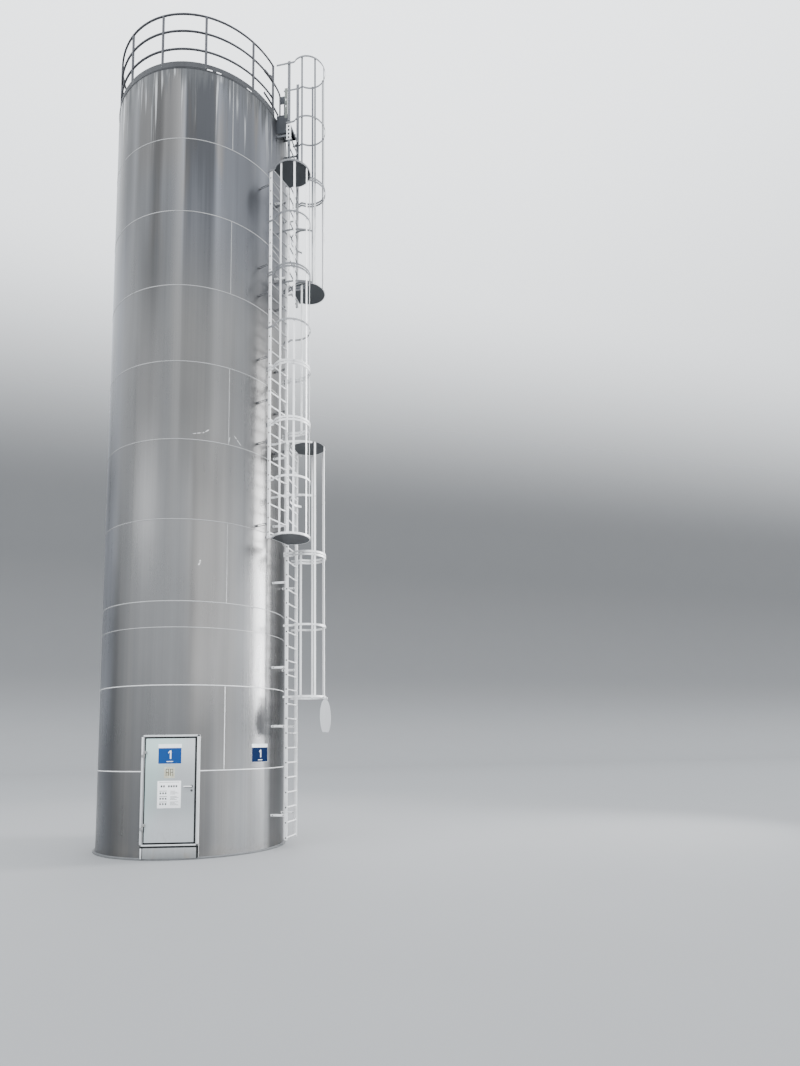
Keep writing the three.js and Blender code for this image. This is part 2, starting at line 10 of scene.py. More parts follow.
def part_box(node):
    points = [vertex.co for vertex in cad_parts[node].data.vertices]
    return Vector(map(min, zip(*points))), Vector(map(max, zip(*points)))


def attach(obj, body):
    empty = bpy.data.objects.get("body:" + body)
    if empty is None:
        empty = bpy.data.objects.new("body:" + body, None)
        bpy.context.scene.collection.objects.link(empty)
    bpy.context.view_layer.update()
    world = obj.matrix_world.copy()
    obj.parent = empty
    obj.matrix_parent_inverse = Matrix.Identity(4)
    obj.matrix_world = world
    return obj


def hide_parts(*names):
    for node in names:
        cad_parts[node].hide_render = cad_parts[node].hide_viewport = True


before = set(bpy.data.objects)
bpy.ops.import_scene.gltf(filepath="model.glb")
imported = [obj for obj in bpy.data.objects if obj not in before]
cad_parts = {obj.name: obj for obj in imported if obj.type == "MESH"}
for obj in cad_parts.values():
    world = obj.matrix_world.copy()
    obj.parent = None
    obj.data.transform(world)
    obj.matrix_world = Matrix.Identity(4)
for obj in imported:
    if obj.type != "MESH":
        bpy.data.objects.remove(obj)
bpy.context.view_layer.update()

flangeLow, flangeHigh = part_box("base_flange")
axisX = (flangeLow.x + flangeHigh.x) / 2
axisY = (flangeLow.y + flangeHigh.y) / 2
tankPlace = Matrix.Translation((axisX, axisY, 0))
tankRadius = 1.75
courseHeight = 1.5
rimHeight = 15.0
# azimuths of the two lines in which the ladder flights stand
outerLine = 75.3
innerLine = 58.8
print("frame loaded, tank axis at", round(axisX, 4), round(axisY, 4))


# Shader maths

class Shade:
    # one socket of a node tree, so that finishes read as plain sums
    def __init__(self, tree, maker=None, output=0):
        self.tree = tree
        self.maker = maker
        self.socket = maker.outputs[output] if maker else None

    def node(self, kind, settings=None, values=None, output=0):
        made = self.tree.nodes.new(kind)
        for name, value in (settings or {}).items():
            if name == "stops":
                setStops(made.color_ramp, value)
            else:
                setattr(made, name, value)
        for name, value in (values or {}).items():
            if isinstance(value, Shade):
                self.tree.links.new(value.socket, made.inputs[name])
            else:
                made.inputs[name].default_value = value
        return Shade(self.tree, made, output)

    def other(self, output):
        return Shade(self.tree, self.maker, output)

    def maths(self, operation, *values):
        return self.node("ShaderNodeMath", {"operation": operation}, dict(enumerate(values)))

    def __add__(self, value):
        return self.maths("ADD", self, value)

    __radd__ = __add__

    def __mul__(self, value):
        return self.maths("MULTIPLY", self, value)

    __rmul__ = __mul__

    def __sub__(self, value):
        return self.maths("SUBTRACT", self, value)

    def __rsub__(self, value):
        return self.maths("SUBTRACT", value, self)

    def __truediv__(self, value):
        return self.maths("DIVIDE", self, value)

    def __abs__(self):
        return self.maths("ABSOLUTE", self)


def setStops(ramp, stops):
    ramp.interpolation = "LINEAR"
    while len(ramp.elements) < len(stops):
        ramp.elements.new(0.5)
    for element, (position, tone) in zip(ramp.elements, stops):
        element.position = position
        element.color = (tone, tone, tone, 1)


def newFinish(name, metallic, roughness, settings=None):
    finish = bpy.data.materials.new(name)
    finish.use_nodes = True
    shader = finish.node_tree.nodes["Principled BSDF"]
    shader.inputs["Metallic"].default_value = metallic
    shader.inputs["Roughness"].default_value = roughness
    for key, value in (settings or {}).items():
        shader.inputs[key].default_value = value
    place = Shade(finish.node_tree).node("ShaderNodeTexCoord", output="Object")
    return finish, shader, place


def feed(shader, name, shade):
    shade.tree.links.new(shade.socket, shader.inputs[name])


def stretched(place, across, up):
    # centred on the tank's axis; a low up value draws a pattern out into streaks
    values = {"Location": (-axisX * across, -axisY * across, 0), "Scale": (across, across, up)}
    return place.node("ShaderNodeMapping", None, {"Vector": place, **values})


def grain(vector, detail=2.0, roughness=0.5):
    return vector.node("ShaderNodeTexNoise", None, {
        "Vector": vector, "Scale": 1.0, "Detail": detail, "Roughness": roughness,
    })


def rise(value, low, high):
    return value.node("ShaderNodeMapRange", {"interpolation_type": "SMOOTHSTEP"}, {
        "Value": value, "From Min": low, "From Max": high,
    })


def band(value, start, full, fading, gone):
    # 1 from full to fading, 0 outside start and gone
    return rise(value, start, full) * (1 - rise(value, fading, gone))


def opaque(colour):
    return colour if isinstance(colour, Shade) else (*colour, 1)


def blendColour(factor, first, second):
    values = {0: factor, 6: opaque(first), 7: opaque(second)}
    settings = {"data_type": "RGBA", "blend_type": "MIX", "clamp_factor": True}
    return factor.node("ShaderNodeMix", settings, values, 2)


def heightOf(place):
    return place.node("ShaderNodeSeparateXYZ", None, {0: place}, 2)


def scaled(colour, factor):
    return factor.node("ShaderNodeVectorMath", {"operation": "SCALE"}, {0: colour, "Scale": factor})


def bumped(shader, height, strength, distance):
    relief = height.node("ShaderNodeBump", None, {
        "Height": height, "Strength": strength, "Distance": distance,
    })
    feed(shader, "Normal", relief)


# Finishes

shellLook = {
    "colour": (0.161, 0.158, 0.155),
    "coolColour": (0.146, 0.147, 0.149),
    "skyReflectionColour": (0.137, 0.143, 0.160),
    "warmColour": (0.160, 0.149, 0.139),
    "washDark": (0.055, 0.057, 0.060),
    "washLight": (0.46, 0.465, 0.47),
    "splashColour": (0.17, 0.16, 0.145),
    "scratchColour": (0.8, 0.8, 0.8),
    # painted reflection and highlight: tone by azimuth in bands under the rim, at middle height and near the
    # foot
    "upperReflectionBands": [
        (-180, 0.8), (-140, 0.95), (-100, 0.7), (-64, 0.8), (-54, 0.45), (-47, 0.15), (-40, 0.22),
        (-35, 0.74), (-31, 0.42), (-23, 0.52), (-19, 0.27), (-14.5, 0.31), (-12.5, 0.6), (-9, 0.56),
        (-3, 0.86), (0.3, 1.1), (1.2, 0.27), (11, 0.25), (18.5, 0.28), (21, 0.95), (24.5, 0.6), (30, 0.55),
        (43, 0.5), (49, 0.8), (54, 1.2), (60, 1.0), (66, 0.8), (76, 0.6), (110, 0.7), (145, 0.9), (180, 0.8),
    ],
    "middleReflectionBands": [
        (-180, 1.0), (-100, 1.0), (-66, 1.6), (-60, 1.3), (-48, 1.1), (-42, 1.0), (-32, 0.84), (-25, 0.44),
        (-18, 0.38), (-12, 0.56), (-6, 0.78), (-0.5, 0.86), (1.5, 0.6), (18, 0.62), (22, 0.95), (27, 0.8),
        (36, 0.85), (42, 0.95), (49, 0.66), (54, 0.5), (62, 0.6), (80, 0.8), (180, 1.0),
    ],
    "lowerReflectionBands": [
        (-180, 0.9), (-140, 1.1), (-100, 0.7), (-66, 0.52), (-60, 0.72), (-54, 0.78), (-46, 0.68),
        (-40, 0.58), (-34, 0.68), (-28, 0.84), (-20, 0.88), (-10, 0.98), (2, 0.98), (10, 0.76), (20, 0.68),
        (24, 1.0), (32, 1.35), (42, 1.6), (50, 1.4), (59, 1.65), (62.5, 1.45), (66, 1.15), (72, 0.9),
        (80, 0.7), (100, 0.8), (125, 1.05), (150, 0.85), (180, 0.9),
    ],
    # where those bands fade in or out, in metres of height
    "upperRange": (9.6, 13.6), "middleRange": (5.8, 8.4, 10.6, 13.2), "lowerRange": (3.2, 8.4),
    # painted reflection and shade, in patches of another tone: strength, then azimuths and heights
    # where it starts, is full, begins to fade and is gone
    "patches": [
        (1.5, (-115, -80, -50, -38), (1.6, 3.0, 5.4, 7.2)),
        (1.0, (-115, -80, -66, -56), (5.4, 7.2, 10.5, 12.5)),
        (-0.4, (-115, -80, -62, -48), (-2, -1, 1.0, 2.0)),
        (0.4, (8, 16, 60, 66), (-2, -1, 0.6, 2.4)),
        (-0.28, (7, 11, 23, 28), (3.0, 4.6, 6.5, 8.0)),
    ],
    "farSideShade": (62.5, 66, 84, 100), "hingeEdge": (-115, -80, -50, -34), "lockSide": (-2, 2),
    "brownSide": (-34, -30, -4, 1), "brownRange": (12.4, 13.4), "skyReflectionRange": (9.5, 12.5),
    "stainedSide": (40, 54, 80, 100), "stainedRange": (9.0, 12.0), "splashRange": (0.02, 0.42),
    # scratches: arc length and height of the middle, slope, half length, half width
    "scratches": [
        (0.36, 7.63, 12, 0.11, 0.010), (0.50, 7.68, 35, 0.09, 0.014),
        (1.10, 7.62, -48, 0.13, 0.012), (0.93, 7.60, 80, 0.07, 0.009), (0.43, 5.21, 70, 0.06, 0.02),
    ],
}


def scratchMask(arc, height, marks):
    total = 0
    for middle, level, slope, halfLength, halfWidth in marks:
        turn = math.radians(slope)
        along = (arc - middle) * math.cos(turn) + (height - level) * math.sin(turn)
        across = (height - level) * math.cos(turn) - (arc - middle) * math.sin(turn)
        inside = 1 - rise(abs(along), halfLength * 0.5, halfLength)
        total = inside * (1 - rise(abs(across), 0.0, halfWidth)) + total
    return total


def bandTone(azimuth, bands):
    stops = [((angle + 180) / 360, tone / 2) for angle, tone in bands]
    return azimuth.node("ShaderNodeValToRGB", {"stops": stops}, {"Fac": (azimuth + 180) / 360}) * 2


def makeShellFinish():
    look = shellLook
    finish, shader, place = newFinish("shellMetal", 0.85, 0.3)
    centred = stretched(place, 1, 1)
    x = centred.node("ShaderNodeSeparateXYZ", None, {0: centred})
    y = x.other(1)
    height = x.other(2)
    azimuth = x.maths("ARCTAN2", x, 0 - y) * (180 / math.pi)
    arc = azimuth * math.radians(tankRadius)

    fine = grain(stretched(place, 55, 0.5), 3, 0.6)
    streak = grain(stretched(place, 9, 0.06), 4, 0.6)
    broad = grain(stretched(place, 1.4, 0.04), 2)
    cloud = grain(stretched(place, 0.8, 0.55), 5, 0.6)
    ragged = grain(stretched(place, 7, 0.12), 3, 0.65)

    upper = rise(height + 2.2 * (ragged - 0.5), *look["upperRange"])
    middle = band(height, *look["middleRange"])
    lower = 1 - rise(height, *look["lowerRange"])
    course = height.maths("FLOOR", height / courseHeight)
    courseTone = course.node("ShaderNodeTexWhiteNoise", {"noise_dimensions": "1D"}, {"W": course})
    tone = 1 + 0.14 * (fine - 0.5) + 0.34 * (streak - 0.5) + 0.30 * (broad - 0.5) + 0.22 * (cloud - 0.5)
    tone = tone * (1 + 0.07 * (courseTone - 0.5)) * (1.10 - 0.19 * rise(height, 4, 14.5))
    # painted reflection and highlight: each set of bands scales the tone over its own heights
    for mask, bands in ((upper, "upperReflectionBands"), (middle, "middleReflectionBands"), (lower, "lowerReflectionBands")):
        tone = tone * (1 + mask * (bandTone(azimuth, look[bands]) - 1))
    # painted shade: the far side of the ladder lies in a darker band
    tone = tone * (1 - 0.35 * band(azimuth, *look["farSideShade"]) * (1 - upper))
    # painted reflection and shade: each patch scales the tone
    for strength, around, upward in look["patches"]:
        tone = tone * (1 + strength * (band(azimuth, *around) * band(height, *upward)))

    colour = blendColour(rise(broad, 0.45, 0.62), look["coolColour"], look["colour"])
    # painted sky reflection: bluer under the rim, most on the lock side and past the hinge-side edge; browner
    # between
    sides = rise(azimuth, *look["lockSide"]) + (1 - rise(azimuth, *look["hingeEdge"][2:]))
    blue = rise(height, *look["skyReflectionRange"]) * (0.35 + 0.6 * sides)
    blue = blue + 0.8 * band(azimuth, *look["hingeEdge"])
    colour = blendColour(blue, colour, look["skyReflectionColour"])
    brown = rise(height, *look["brownRange"]) * band(azimuth, *look["brownSide"])
    colour = blendColour(brown * 0.5, colour, look["warmColour"])
    stain = rise(grain(stretched(place, 3, 0.25), 3), 0.56, 0.72) * upper
    colour = scaled(blendColour(stain, colour, look["warmColour"]), tone)

    # rain wash from the rim down: dark and pale tongues of uneven length
    reach = 0.2 + 2.0 * rise(grain(stretched(place, 9, 0), 3), 0.4, 0.7)
    below = rimHeight - height
    fade = 1 - rise(below / reach, 0.3, 1.0)
    darkWash = rise(grain(stretched(place, 17, 0.3), 4, 0.65), 0.52, 0.58) * fade
    paleWash = rise(grain(stretched(place, 12, 0.2), 4, 0.65), 0.53, 0.59) * fade
    edgeGrime = 1 - rise(below + 2.2 * (ragged - 0.5), 0.05, 0.5)
    colour = blendColour(paleWash * 0.6, colour, look["washLight"])
    colour = blendColour(darkWash * 0.8, colour, look["washDark"])
    colour = blendColour(edgeGrime * 0.85, colour, look["washDark"])

    # splash dirt near the foot, and scratches
    splash = 1 - rise(height, *look["splashRange"])
    splash = splash * rise(grain(stretched(place, 4, 3), 6, 0.7), 0.4, 0.7)
    colour = blendColour(splash * 0.5, colour, look["splashColour"])
    broken = rise(grain(stretched(place, 30, 30), 3), 0.35, 0.55)
    scratches = scratchMask(arc, height, look["scratches"]) * broken
    feed(shader, "Base Color", blendColour(scratches * 0.7, colour, look["scratchColour"]))

    stained = band(azimuth, *look["stainedSide"]) * rise(height, *look["stainedRange"])
    rough = 0.22 + 0.14 * cloud + 0.10 * (streak - 0.5) + 0.2 * darkWash
    feed(shader, "Roughness", rough + 0.25 * splash + 0.22 * stained)
    swell = grain(stretched(place, 1.1, 0.7), 2) + 0.35 * grain(stretched(place, 3.2, 0.5), 2)
    bumped(shader, swell + 0.012 * fine, 0.12, 0.05)
    return finish


def makeBrightFinish(name, colour, worn, metallic, roughness, shadeHeights=None):
    # brushed metal with dull patches; the last argument, a height range, darkens it towards the worn colour
    # there: a painted shade
    finish, shader, place = newFinish(name, metallic, roughness)
    brushed = grain(stretched(place, 40, 3), 3, 0.6)
    patch = grain(stretched(place, 5, 2.2), 4, 0.6)
    tone = 0.86 + 0.2 * brushed + 0.16 * (patch - 0.5)
    dull = rise(patch, 0.48, 0.72) * 0.6
    # painted shade: darker over the given heights
    if shadeHeights:
        dull = dull + rise(heightOf(place), *shadeHeights)
    shown = blendColour(dull, colour, worn)
    feed(shader, "Base Color", scaled(shown, tone))
    feed(shader, "Roughness", roughness - 0.06 + 0.2 * patch)
    bumped(shader, brushed + 0.5 * patch, 0.12, 0.002)
    return finish


def makePaintFinish(name, colour, dirt, roughness, scale=6.0, amount=0.35, gloss=0.2):
    finish, shader, place = newFinish(name, 0.0, roughness, {"Specular IOR Level": gloss})
    mottle = grain(stretched(place, scale, scale * 0.4), 5, 0.6)
    dust = rise(grain(stretched(place, scale * 2.5, scale * 0.5), 4, 0.6), 0.45, 0.8)
    shown = blendColour(dust * amount, colour, dirt)
    feed(shader, "Base Color", scaled(shown, 0.92 + 0.16 * mottle))
    feed(shader, "Roughness", roughness - 0.08 + 0.18 * mottle)
    bumped(shader, grain(stretched(place, 180, 180), 2), 0.05, 0.001)
    return finish


def makeDoorFinish():
    # pale mint at the upper hinge corner, greyer towards the lock side and the foot
    finish, shader, place = newFinish("doorPaint", 0.25, 0.36)
    centred = stretched(place, 1, 1)
    x = centred.node("ShaderNodeSeparateXYZ", None, {0: centred})
    height = x.other(2)
    soft = grain(stretched(place, 2.5, 1.2), 3)
    fine = grain(stretched(place, 60, 3), 2)
    slant = x * 1.9 - (height - 1.3) * 0.75 + 0.5 * (soft - 0.5)
    shown = blendColour(rise(slant, -0.75, 0.25), (0.47, 0.60, 0.585), (0.47, 0.495, 0.51))
    scuff = (1 - rise(height, 0.28, 0.6)) * rise(grain(stretched(place, 14, 7), 5, 0.7), 0.5, 0.75)
    shown = blendColour(scuff * 0.45, shown, (0.24, 0.23, 0.21))
    # the middle of the leaf is the dullest
    dull = band(height, 0.5, 1.0, 1.4, 1.95)
    tone = (0.97 + 0.08 * fine + 0.08 * (soft - 0.5)) * (1 - 0.25 * dull)
    feed(shader, "Base Color", scaled(shown, tone))
    feed(shader, "Roughness", 0.3 + 0.14 * soft + 0.2 * scuff)
    bumped(shader, soft + 0.02 * fine, 0.1, 0.01)
    return finish


def makeBeadFinish():
    # bright near the foot, duller higher up
    finish, shader, place = newFinish("seamBead", 0.3, 0.42)
    ripple = grain(stretched(place, 90, 90), 2)
    patch = grain(stretched(place, 2.2, 2.2), 3)
    tone = (0.75 + 0.3 * ripple + 0.4 * (patch - 0.5)) * (1 - 0.66 * rise(heightOf(place), 1.8, 5.5))
    feed(shader, "Base Color", scaled((0.84, 0.845, 0.85), tone))
    feed(shader, "Roughness", 0.34 + 0.2 * ripple)
    bumped(shader, ripple, 0.5, 0.002)
    return finish


def makeLabelFinish():
    # pale straw, unevenly faded, with small brown spots
    finish, shader, place = newFinish("fadedLabel", 0.0, 0.55)
    worn = grain(stretched(place, 22, 22), 4, 0.6)
    dirt = rise(grain(stretched(place, 45, 30), 3), 0.5, 0.7)
    shown = blendColour(rise(worn, 0.4, 0.65), (0.47, 0.45, 0.33), (0.56, 0.57, 0.48))
    shown = blendColour(dirt * 0.35, shown, (0.3, 0.26, 0.18))
    feed(shader, "Base Color", scaled(shown, 0.9 + 0.2 * worn))
    feed(shader, "Roughness", 0.45 + 0.2 * worn)
    return finish


# each metal: colour, worn colour, metallic, roughness, and the heights over which it darkens towards the worn
# colour, a painted shade
metals = {
    "ladder": ((0.88, 0.885, 0.89), (0.66, 0.665, 0.67), 0.15, 0.38),
    # the high flight is dimmer and darkens near the top, and rungs and hoops darken higher up: painted shade
    "highLadder": ((0.74, 0.745, 0.75), (0.10, 0.105, 0.115), 0.25, 0.45, (12.4, 14.2)),
    "rung": ((0.84, 0.845, 0.85), (0.15, 0.155, 0.165), 0.2, 0.42, (8.4, 10.6)),
    # bracket: dark, a painted shade on the middle flight's arms and the hoop ends; also the roses' own dark
    "bracket": ((0.11, 0.112, 0.118), (0.07, 0.072, 0.078), 0.4, 0.5),
    # plate: near black, a painted shade of the plates' undersides
    "plate": ((0.068, 0.072, 0.078), (0.056, 0.062, 0.068), 0.4, 0.5, (8.0, 12.0)),
    "trap": ((0.40, 0.41, 0.425), (0.35, 0.36, 0.37), 0.4, 0.42),
    "rail": ((0.055, 0.057, 0.065), (0.034, 0.035, 0.040), 0.35, 0.5),
    # rim: the dark toe board and roof ring, a painted shade
    "rim": ((0.036, 0.038, 0.043), (0.02, 0.021, 0.024), 0.2, 0.6),
    "strip": ((0.15, 0.165, 0.15), (0.10, 0.11, 0.10), 0.3, 0.5),
    "landing": ((0.021, 0.025, 0.032), (0.013, 0.016, 0.022), 0.3, 0.5),
    "roof": ((0.20, 0.202, 0.205), (0.15, 0.15, 0.15), 0.6, 0.45),
    # foot: kept dark so that the foot ring reads as a shadow line: painted shade
    "foot": ((0.13, 0.135, 0.14), (0.08, 0.082, 0.085), 0.3, 0.55),
    "bolt": ((0.24, 0.24, 0.245), (0.12, 0.12, 0.12), 0.7, 0.4),
    "lever": ((0.93, 0.935, 0.94), (0.8, 0.8, 0.81), 0.3, 0.28),
    "frame": ((0.62, 0.635, 0.645), (0.42, 0.43, 0.44), 0.3, 0.4),
    "plinth": ((0.27, 0.28, 0.285), (0.26, 0.235, 0.205), 0.3, 0.45),
}
# each paint: name, colour, dirt colour, roughness, how fine and how strong the dirt is, gloss
paints = {
    "seal": ("doorSeal", (0.014, 0.015, 0.016), (0.05, 0.05, 0.048), 0.7, 20),
    "hole": ("darkHole", (0.012, 0.012, 0.013), (0.03, 0.03, 0.03), 0.8, 30),
    "enamelWhite": ("whiteEnamel", (0.88, 0.91, 0.93), (0.7, 0.7, 0.68), 0.3, 8, 0.3),
    "enamelBlue": ("blueEnamel", (0.003, 0.050, 0.21), (0.006, 0.055, 0.18), 0.4, 8, 0.3),
    "enamelNavy": ("navyEnamel", (0.004, 0.015, 0.060), (0.008, 0.02, 0.055), 0.65, 8, 0.3, 0.05),
    "paper": ("noticeSheet", (0.95, 0.96, 0.965), (0.85, 0.85, 0.84), 0.42, 7, 0.3, 0.5),
    "print": ("noticePrint", (0.035, 0.038, 0.042), (0.12, 0.12, 0.12), 0.5, 40, 0.4),
    "labelPrint": ("labelPrint", (0.060, 0.052, 0.030), (0.16, 0.14, 0.09), 0.55, 30, 0.5),
}
finishes = {
    "shell": makeShellFinish(), "bead": makeBeadFinish(),
    "door": makeDoorFinish(), "label": makeLabelFinish(),
    **{key: makeBrightFinish(f"{key}Metal", *values) for key, values in metals.items()},
    **{key: makePaintFinish(*values) for key, values in paints.items()},
}
print("finishes made:", len(finishes))


# Mesh helpers

def newPiece(name, bm, finish, slot, stands=(), azimuth=0, body="tank", sharp=35):
    bm.transform(tankPlace @ turned(azimuth))
    bmesh.ops.remove_doubles(bm, verts=bm.verts, dist=1e-5)
    bmesh.ops.recalc_face_normals(bm, faces=bm.faces)
    mesh = bpy.data.meshes.new(name)
    bm.to_mesh(mesh)
    bm.free()
    mesh.shade_smooth()
    mesh.set_sharp_from_angle(angle=math.radians(sharp))
    for part in finish if isinstance(finish, list) else [finish]:
        mesh.materials.append(finishes[part])
    piece = bpy.data.objects.new(name, mesh)
    bpy.context.scene.collection.objects.link(piece)
    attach(piece, body)
    if stands:
        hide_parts(*stands)


def turned(angle):
    return Matrix.Rotation(math.radians(angle), 4, "Z")


def bevelEdges(bm, edges, width, segments=2):
    bmesh.ops.bevel(
        bm, geom=edges, offset=width, offset_type="OFFSET", affect="EDGES",
        segments=segments, profile=0.5, material=-1,
    )


def addBox(bm, low, high, bevel=0.0, place=None, segments=2):
    size = Vector(high) - Vector(low)
    centre = (Vector(high) + Vector(low)) / 2
    matrix = Matrix.Translation(centre) @ Matrix.Diagonal((*size, 1))
    made = bmesh.ops.create_cube(bm, size=1, matrix=(place or Matrix.Identity(4)) @ matrix)
    if bevel:
        edges = list({edge for vert in made["verts"] for edge in vert.link_edges})
        bevelEdges(bm, edges, bevel, segments)


def boxPiece(name, boxes, bevel, *look):
    bm = bmesh.new()
    for low, high in boxes:
        addBox(bm, low, high, bevel)
    newPiece(name, bm, *look)


def addRod(bm, start, end, radius, sides=16, tip=None, bevel=0.0):
    along = Vector(end) - Vector(start)
    turn = along.to_track_quat("Z", "Y").to_matrix().to_4x4()
    matrix = Matrix.Translation((Vector(start) + Vector(end)) / 2) @ turn
    made = bmesh.ops.create_cone(
        bm, cap_ends=True, segments=sides, radius1=radius, radius2=radius if tip is None else tip,
        depth=along.length, matrix=matrix,
    )
    if bevel:
        rims = {edge for vert in made["verts"] for edge in vert.link_edges
                if any(len(face.verts) > 4 for face in edge.link_faces)}
        bevelEdges(bm, list(rims), bevel)


def addBolt(bm, foot, outward, radius=0.008, depth=0.005, sides=6):
    foot = Vector(foot)
    outward = Vector(outward).normalized()
    addRod(bm, foot - outward * 0.001, foot + outward * depth, radius, sides, radius * 0.86)


def paintNew(bm, older, index):
    # gives the faces that aren't in the older set another of the piece's finishes
    for face in set(bm.faces) - older:
        face.material_index = index


def addRing(bm, outline, start=0.0, sweep=360.0, steps=128, centre=(0, 0, 0)):
    # an outline of (radius, height) turned about an upright axis; one that starts and
    # ends at radius 0 closes on the axis
    turn = Matrix.Rotation(math.radians(start), 3, "Z")
    centre = Vector(centre)
    corners = [bm.verts.new(centre + turn @ Vector((0, -radius, height))) for radius, height in outline]
    edges = [bm.edges.new(pair) for pair in zip(corners, corners[1:])]
    full = sweep >= 360
    if outline[0][0] > 0 or outline[-1][0] > 0:
        edges.append(bm.edges.new((corners[-1], corners[0])))
    geometry = corners + edges
    if not full:
        geometry.append(bm.faces.new(corners))
    bmesh.ops.spin(
        bm, geom=geometry, cent=centre, axis=(0, 0, 1), angle=math.radians(sweep),
        steps=steps, use_merge=full,
    )


def sweepRound(bm, face, centre, axis, angle, steps):
    geometry = [face, *face.edges, *face.verts]
    swept = bmesh.ops.spin(bm, geom=geometry, cent=centre, axis=axis, angle=math.radians(angle), steps=steps)
    return next(item for item in swept["geom_last"] if isinstance(item, bmesh.types.BMFace))


def sweepStraight(bm, face, step):
    made = bmesh.ops.extrude_face_region(bm, geom=[face])["geom"]
    verts = [item for item in made if isinstance(item, bmesh.types.BMVert)]
    bmesh.ops.translate(bm, verts=verts, vec=step)
    return next(item for item in made if isinstance(item, bmesh.types.BMFace))


def flatFace(bm, points):
    return bm.faces.new([bm.verts.new(point) for point in points])


def roundFace(bm, place, radius, sides):
    made = bmesh.ops.create_circle(bm, cap_ends=True, segments=sides, radius=radius, matrix=place)
    return made["verts"][0].link_faces[0]


def addRailArc(bm, railRadius, height, tube, start, end, sides=14):
    spot = Matrix.Translation((0, -railRadius, height))
    place = turned(start) @ spot @ Matrix.Rotation(math.pi / 2, 4, "Y")
    face = roundFace(bm, place, tube, sides)
    return sweepRound(bm, face, (0, 0, 0), (0, 0, 1), end - start, max(1, round((end - start) / 2.5)))


# Shell: skirt, courses, seams and foot ring

shell = {
    "radius": tankRadius, "wall": 0.006, "course": courseHeight, "courses": 10, "rows": 8, "steps": 180,
    "bottom": 0.0253, "dent": 0.0016, "doorHalf": 0.4915, "beadDoorHalf": 0.4945, "footDoorHalf": 0.482,
    "overDoor": 2.1305, "overDoorRows": 5, "overDoorSteps": 18, "gap": 0.0003,
    "beadHalf": 0.010, "beadRise": 0.0028, "thinSeam": 4.03,
    "evenSeams": (30, 210), "oddSeams": (128, 250),
}


def wallOutline(bottom, top, rows):
    inner = shell["radius"] - shell["wall"]
    step = (top - bottom) / rows
    outside = [(shell["radius"], bottom + step * row) for row in range(rows + 1)]
    return [*outside, (inner, top), (inner, bottom)]


def dentWall(bm):
    # rolled plate is never quite true: shallow swells of a millimetre or so
    for vert in bm.verts:
        radius = math.hypot(vert.co.x, vert.co.y)
        if radius > shell["radius"] - 0.001:
            swell = noise.noise(Vector((vert.co.x * 1.3, vert.co.y * 1.3, vert.co.z * 0.8)))
            push = 1 + shell["dent"] * (swell - 0.3) / radius
            vert.co.x *= push
            vert.co.y *= push


def doorAngle(half):
    # azimuth of a door edge that far from the middle of the door
    return math.degrees(math.asin(half / shell["radius"]))


def makeWall(name, bottom, top, rows, stands, start=0.0, sweep=360.0, steps=shell["steps"]):
    bm = bmesh.new()
    addRing(bm, wallOutline(bottom, top, rows), start, sweep, steps)
    dentWall(bm)
    newPiece(name, bm, "shell", "shell_metal", stands, sharp=50)


def makeCourses():
    angle = doorAngle(shell["doorHalf"])
    beside, over = (angle, 360 - 2 * angle), (-angle, 2 * angle, shell["overDoorSteps"])
    course, rows, gap = shell["course"], shell["rows"], shell["gap"]
    stands = ["skirt_hinge_side", "skirt_lock_side"]
    makeWall("skirt_skin", shell["bottom"], course, rows, stands, *beside)
    stands = ["shell_course_02_hinge_side", "shell_course_02_lock_side"]
    makeWall("course_02_skin", course + gap, 2 * course, rows, stands, *beside)
    bottom, stands = shell["overDoor"], ["shell_course_02_over_door"]
    makeWall("course_02_over_door_skin", bottom, 2 * course, shell["overDoorRows"], stands, *over)
    for index in range(2, shell["courses"]):
        label = f"{index + 1:02d}"
        bottom, top = course * index + gap, course * (index + 1)
        makeWall(f"course_{label}_skin", bottom, top, rows, [f"shell_course_{label}"])


def beadOutline(height, half, lift):
    base = shell["radius"] - 0.003
    crown = shell["radius"] + lift
    return [
        (base, height - half), (shell["radius"] + lift * 0.35, height - half * 0.85),
        (crown, height - half * 0.3), (crown, height + half * 0.3),
        (shell["radius"] + lift * 0.35, height + half * 0.85), (base, height + half),
    ]


def addUprightBead(bm, azimuth, bottom, top):
    half = shell["beadHalf"] * 0.8
    lift = shell["beadRise"]
    shoulder, low = half * 0.8, -lift * 0.35
    outline = [(-half, 0.003), (-shoulder, low), (0, -lift), (shoulder, low), (half, 0.003)]
    place = turned(azimuth)
    points = [place @ Vector((x, y - shell["radius"], bottom)) for x, y in outline]
    sweepStraight(bm, flatFace(bm, points), (0, 0, top - bottom))


def makeSeams():
    bm = bmesh.new()
    angle = doorAngle(shell["beadDoorHalf"])
    half, lift, steps = shell["beadHalf"], shell["beadRise"], shell["steps"]
    addRing(bm, beadOutline(shell["course"], half, lift), angle, 360 - 2 * angle, steps)
    for index in range(2, shell["courses"]):
        addRing(bm, beadOutline(shell["course"] * index, half, lift), steps=steps)
    addRing(bm, beadOutline(shell["thinSeam"], half * 0.55, lift * 0.5), steps=steps)
    for index in range(shell["courses"]):
        bottom = shell["course"] * index + (0.03 if index == 0 else half)
        for azimuth in shell["oddSeams"] if index % 2 == 0 else shell["evenSeams"]:
            addUprightBead(bm, azimuth, bottom, shell["course"] * (index + 1) - half)
    newPiece("seam_beads", bm, "bead", "shell_metal", sharp=60)
    # the fillet that holds the roof ring
    bm = bmesh.new()
    inner = shell["radius"] - 0.0005
    outline = [(inner, rimHeight - 0.018), (inner + 0.007, rimHeight - 0.0005), (inner, rimHeight - 0.0002)]
    addRing(bm, outline, steps=steps)
    newPiece("rim_fillet", bm, "rim", "shell_metal", sharp=60)


foot = {"inner": 1.690, "outer": 1.795, "height": 0.025, "edge": 0.002, "fillet": 0.010, "steps": 160}


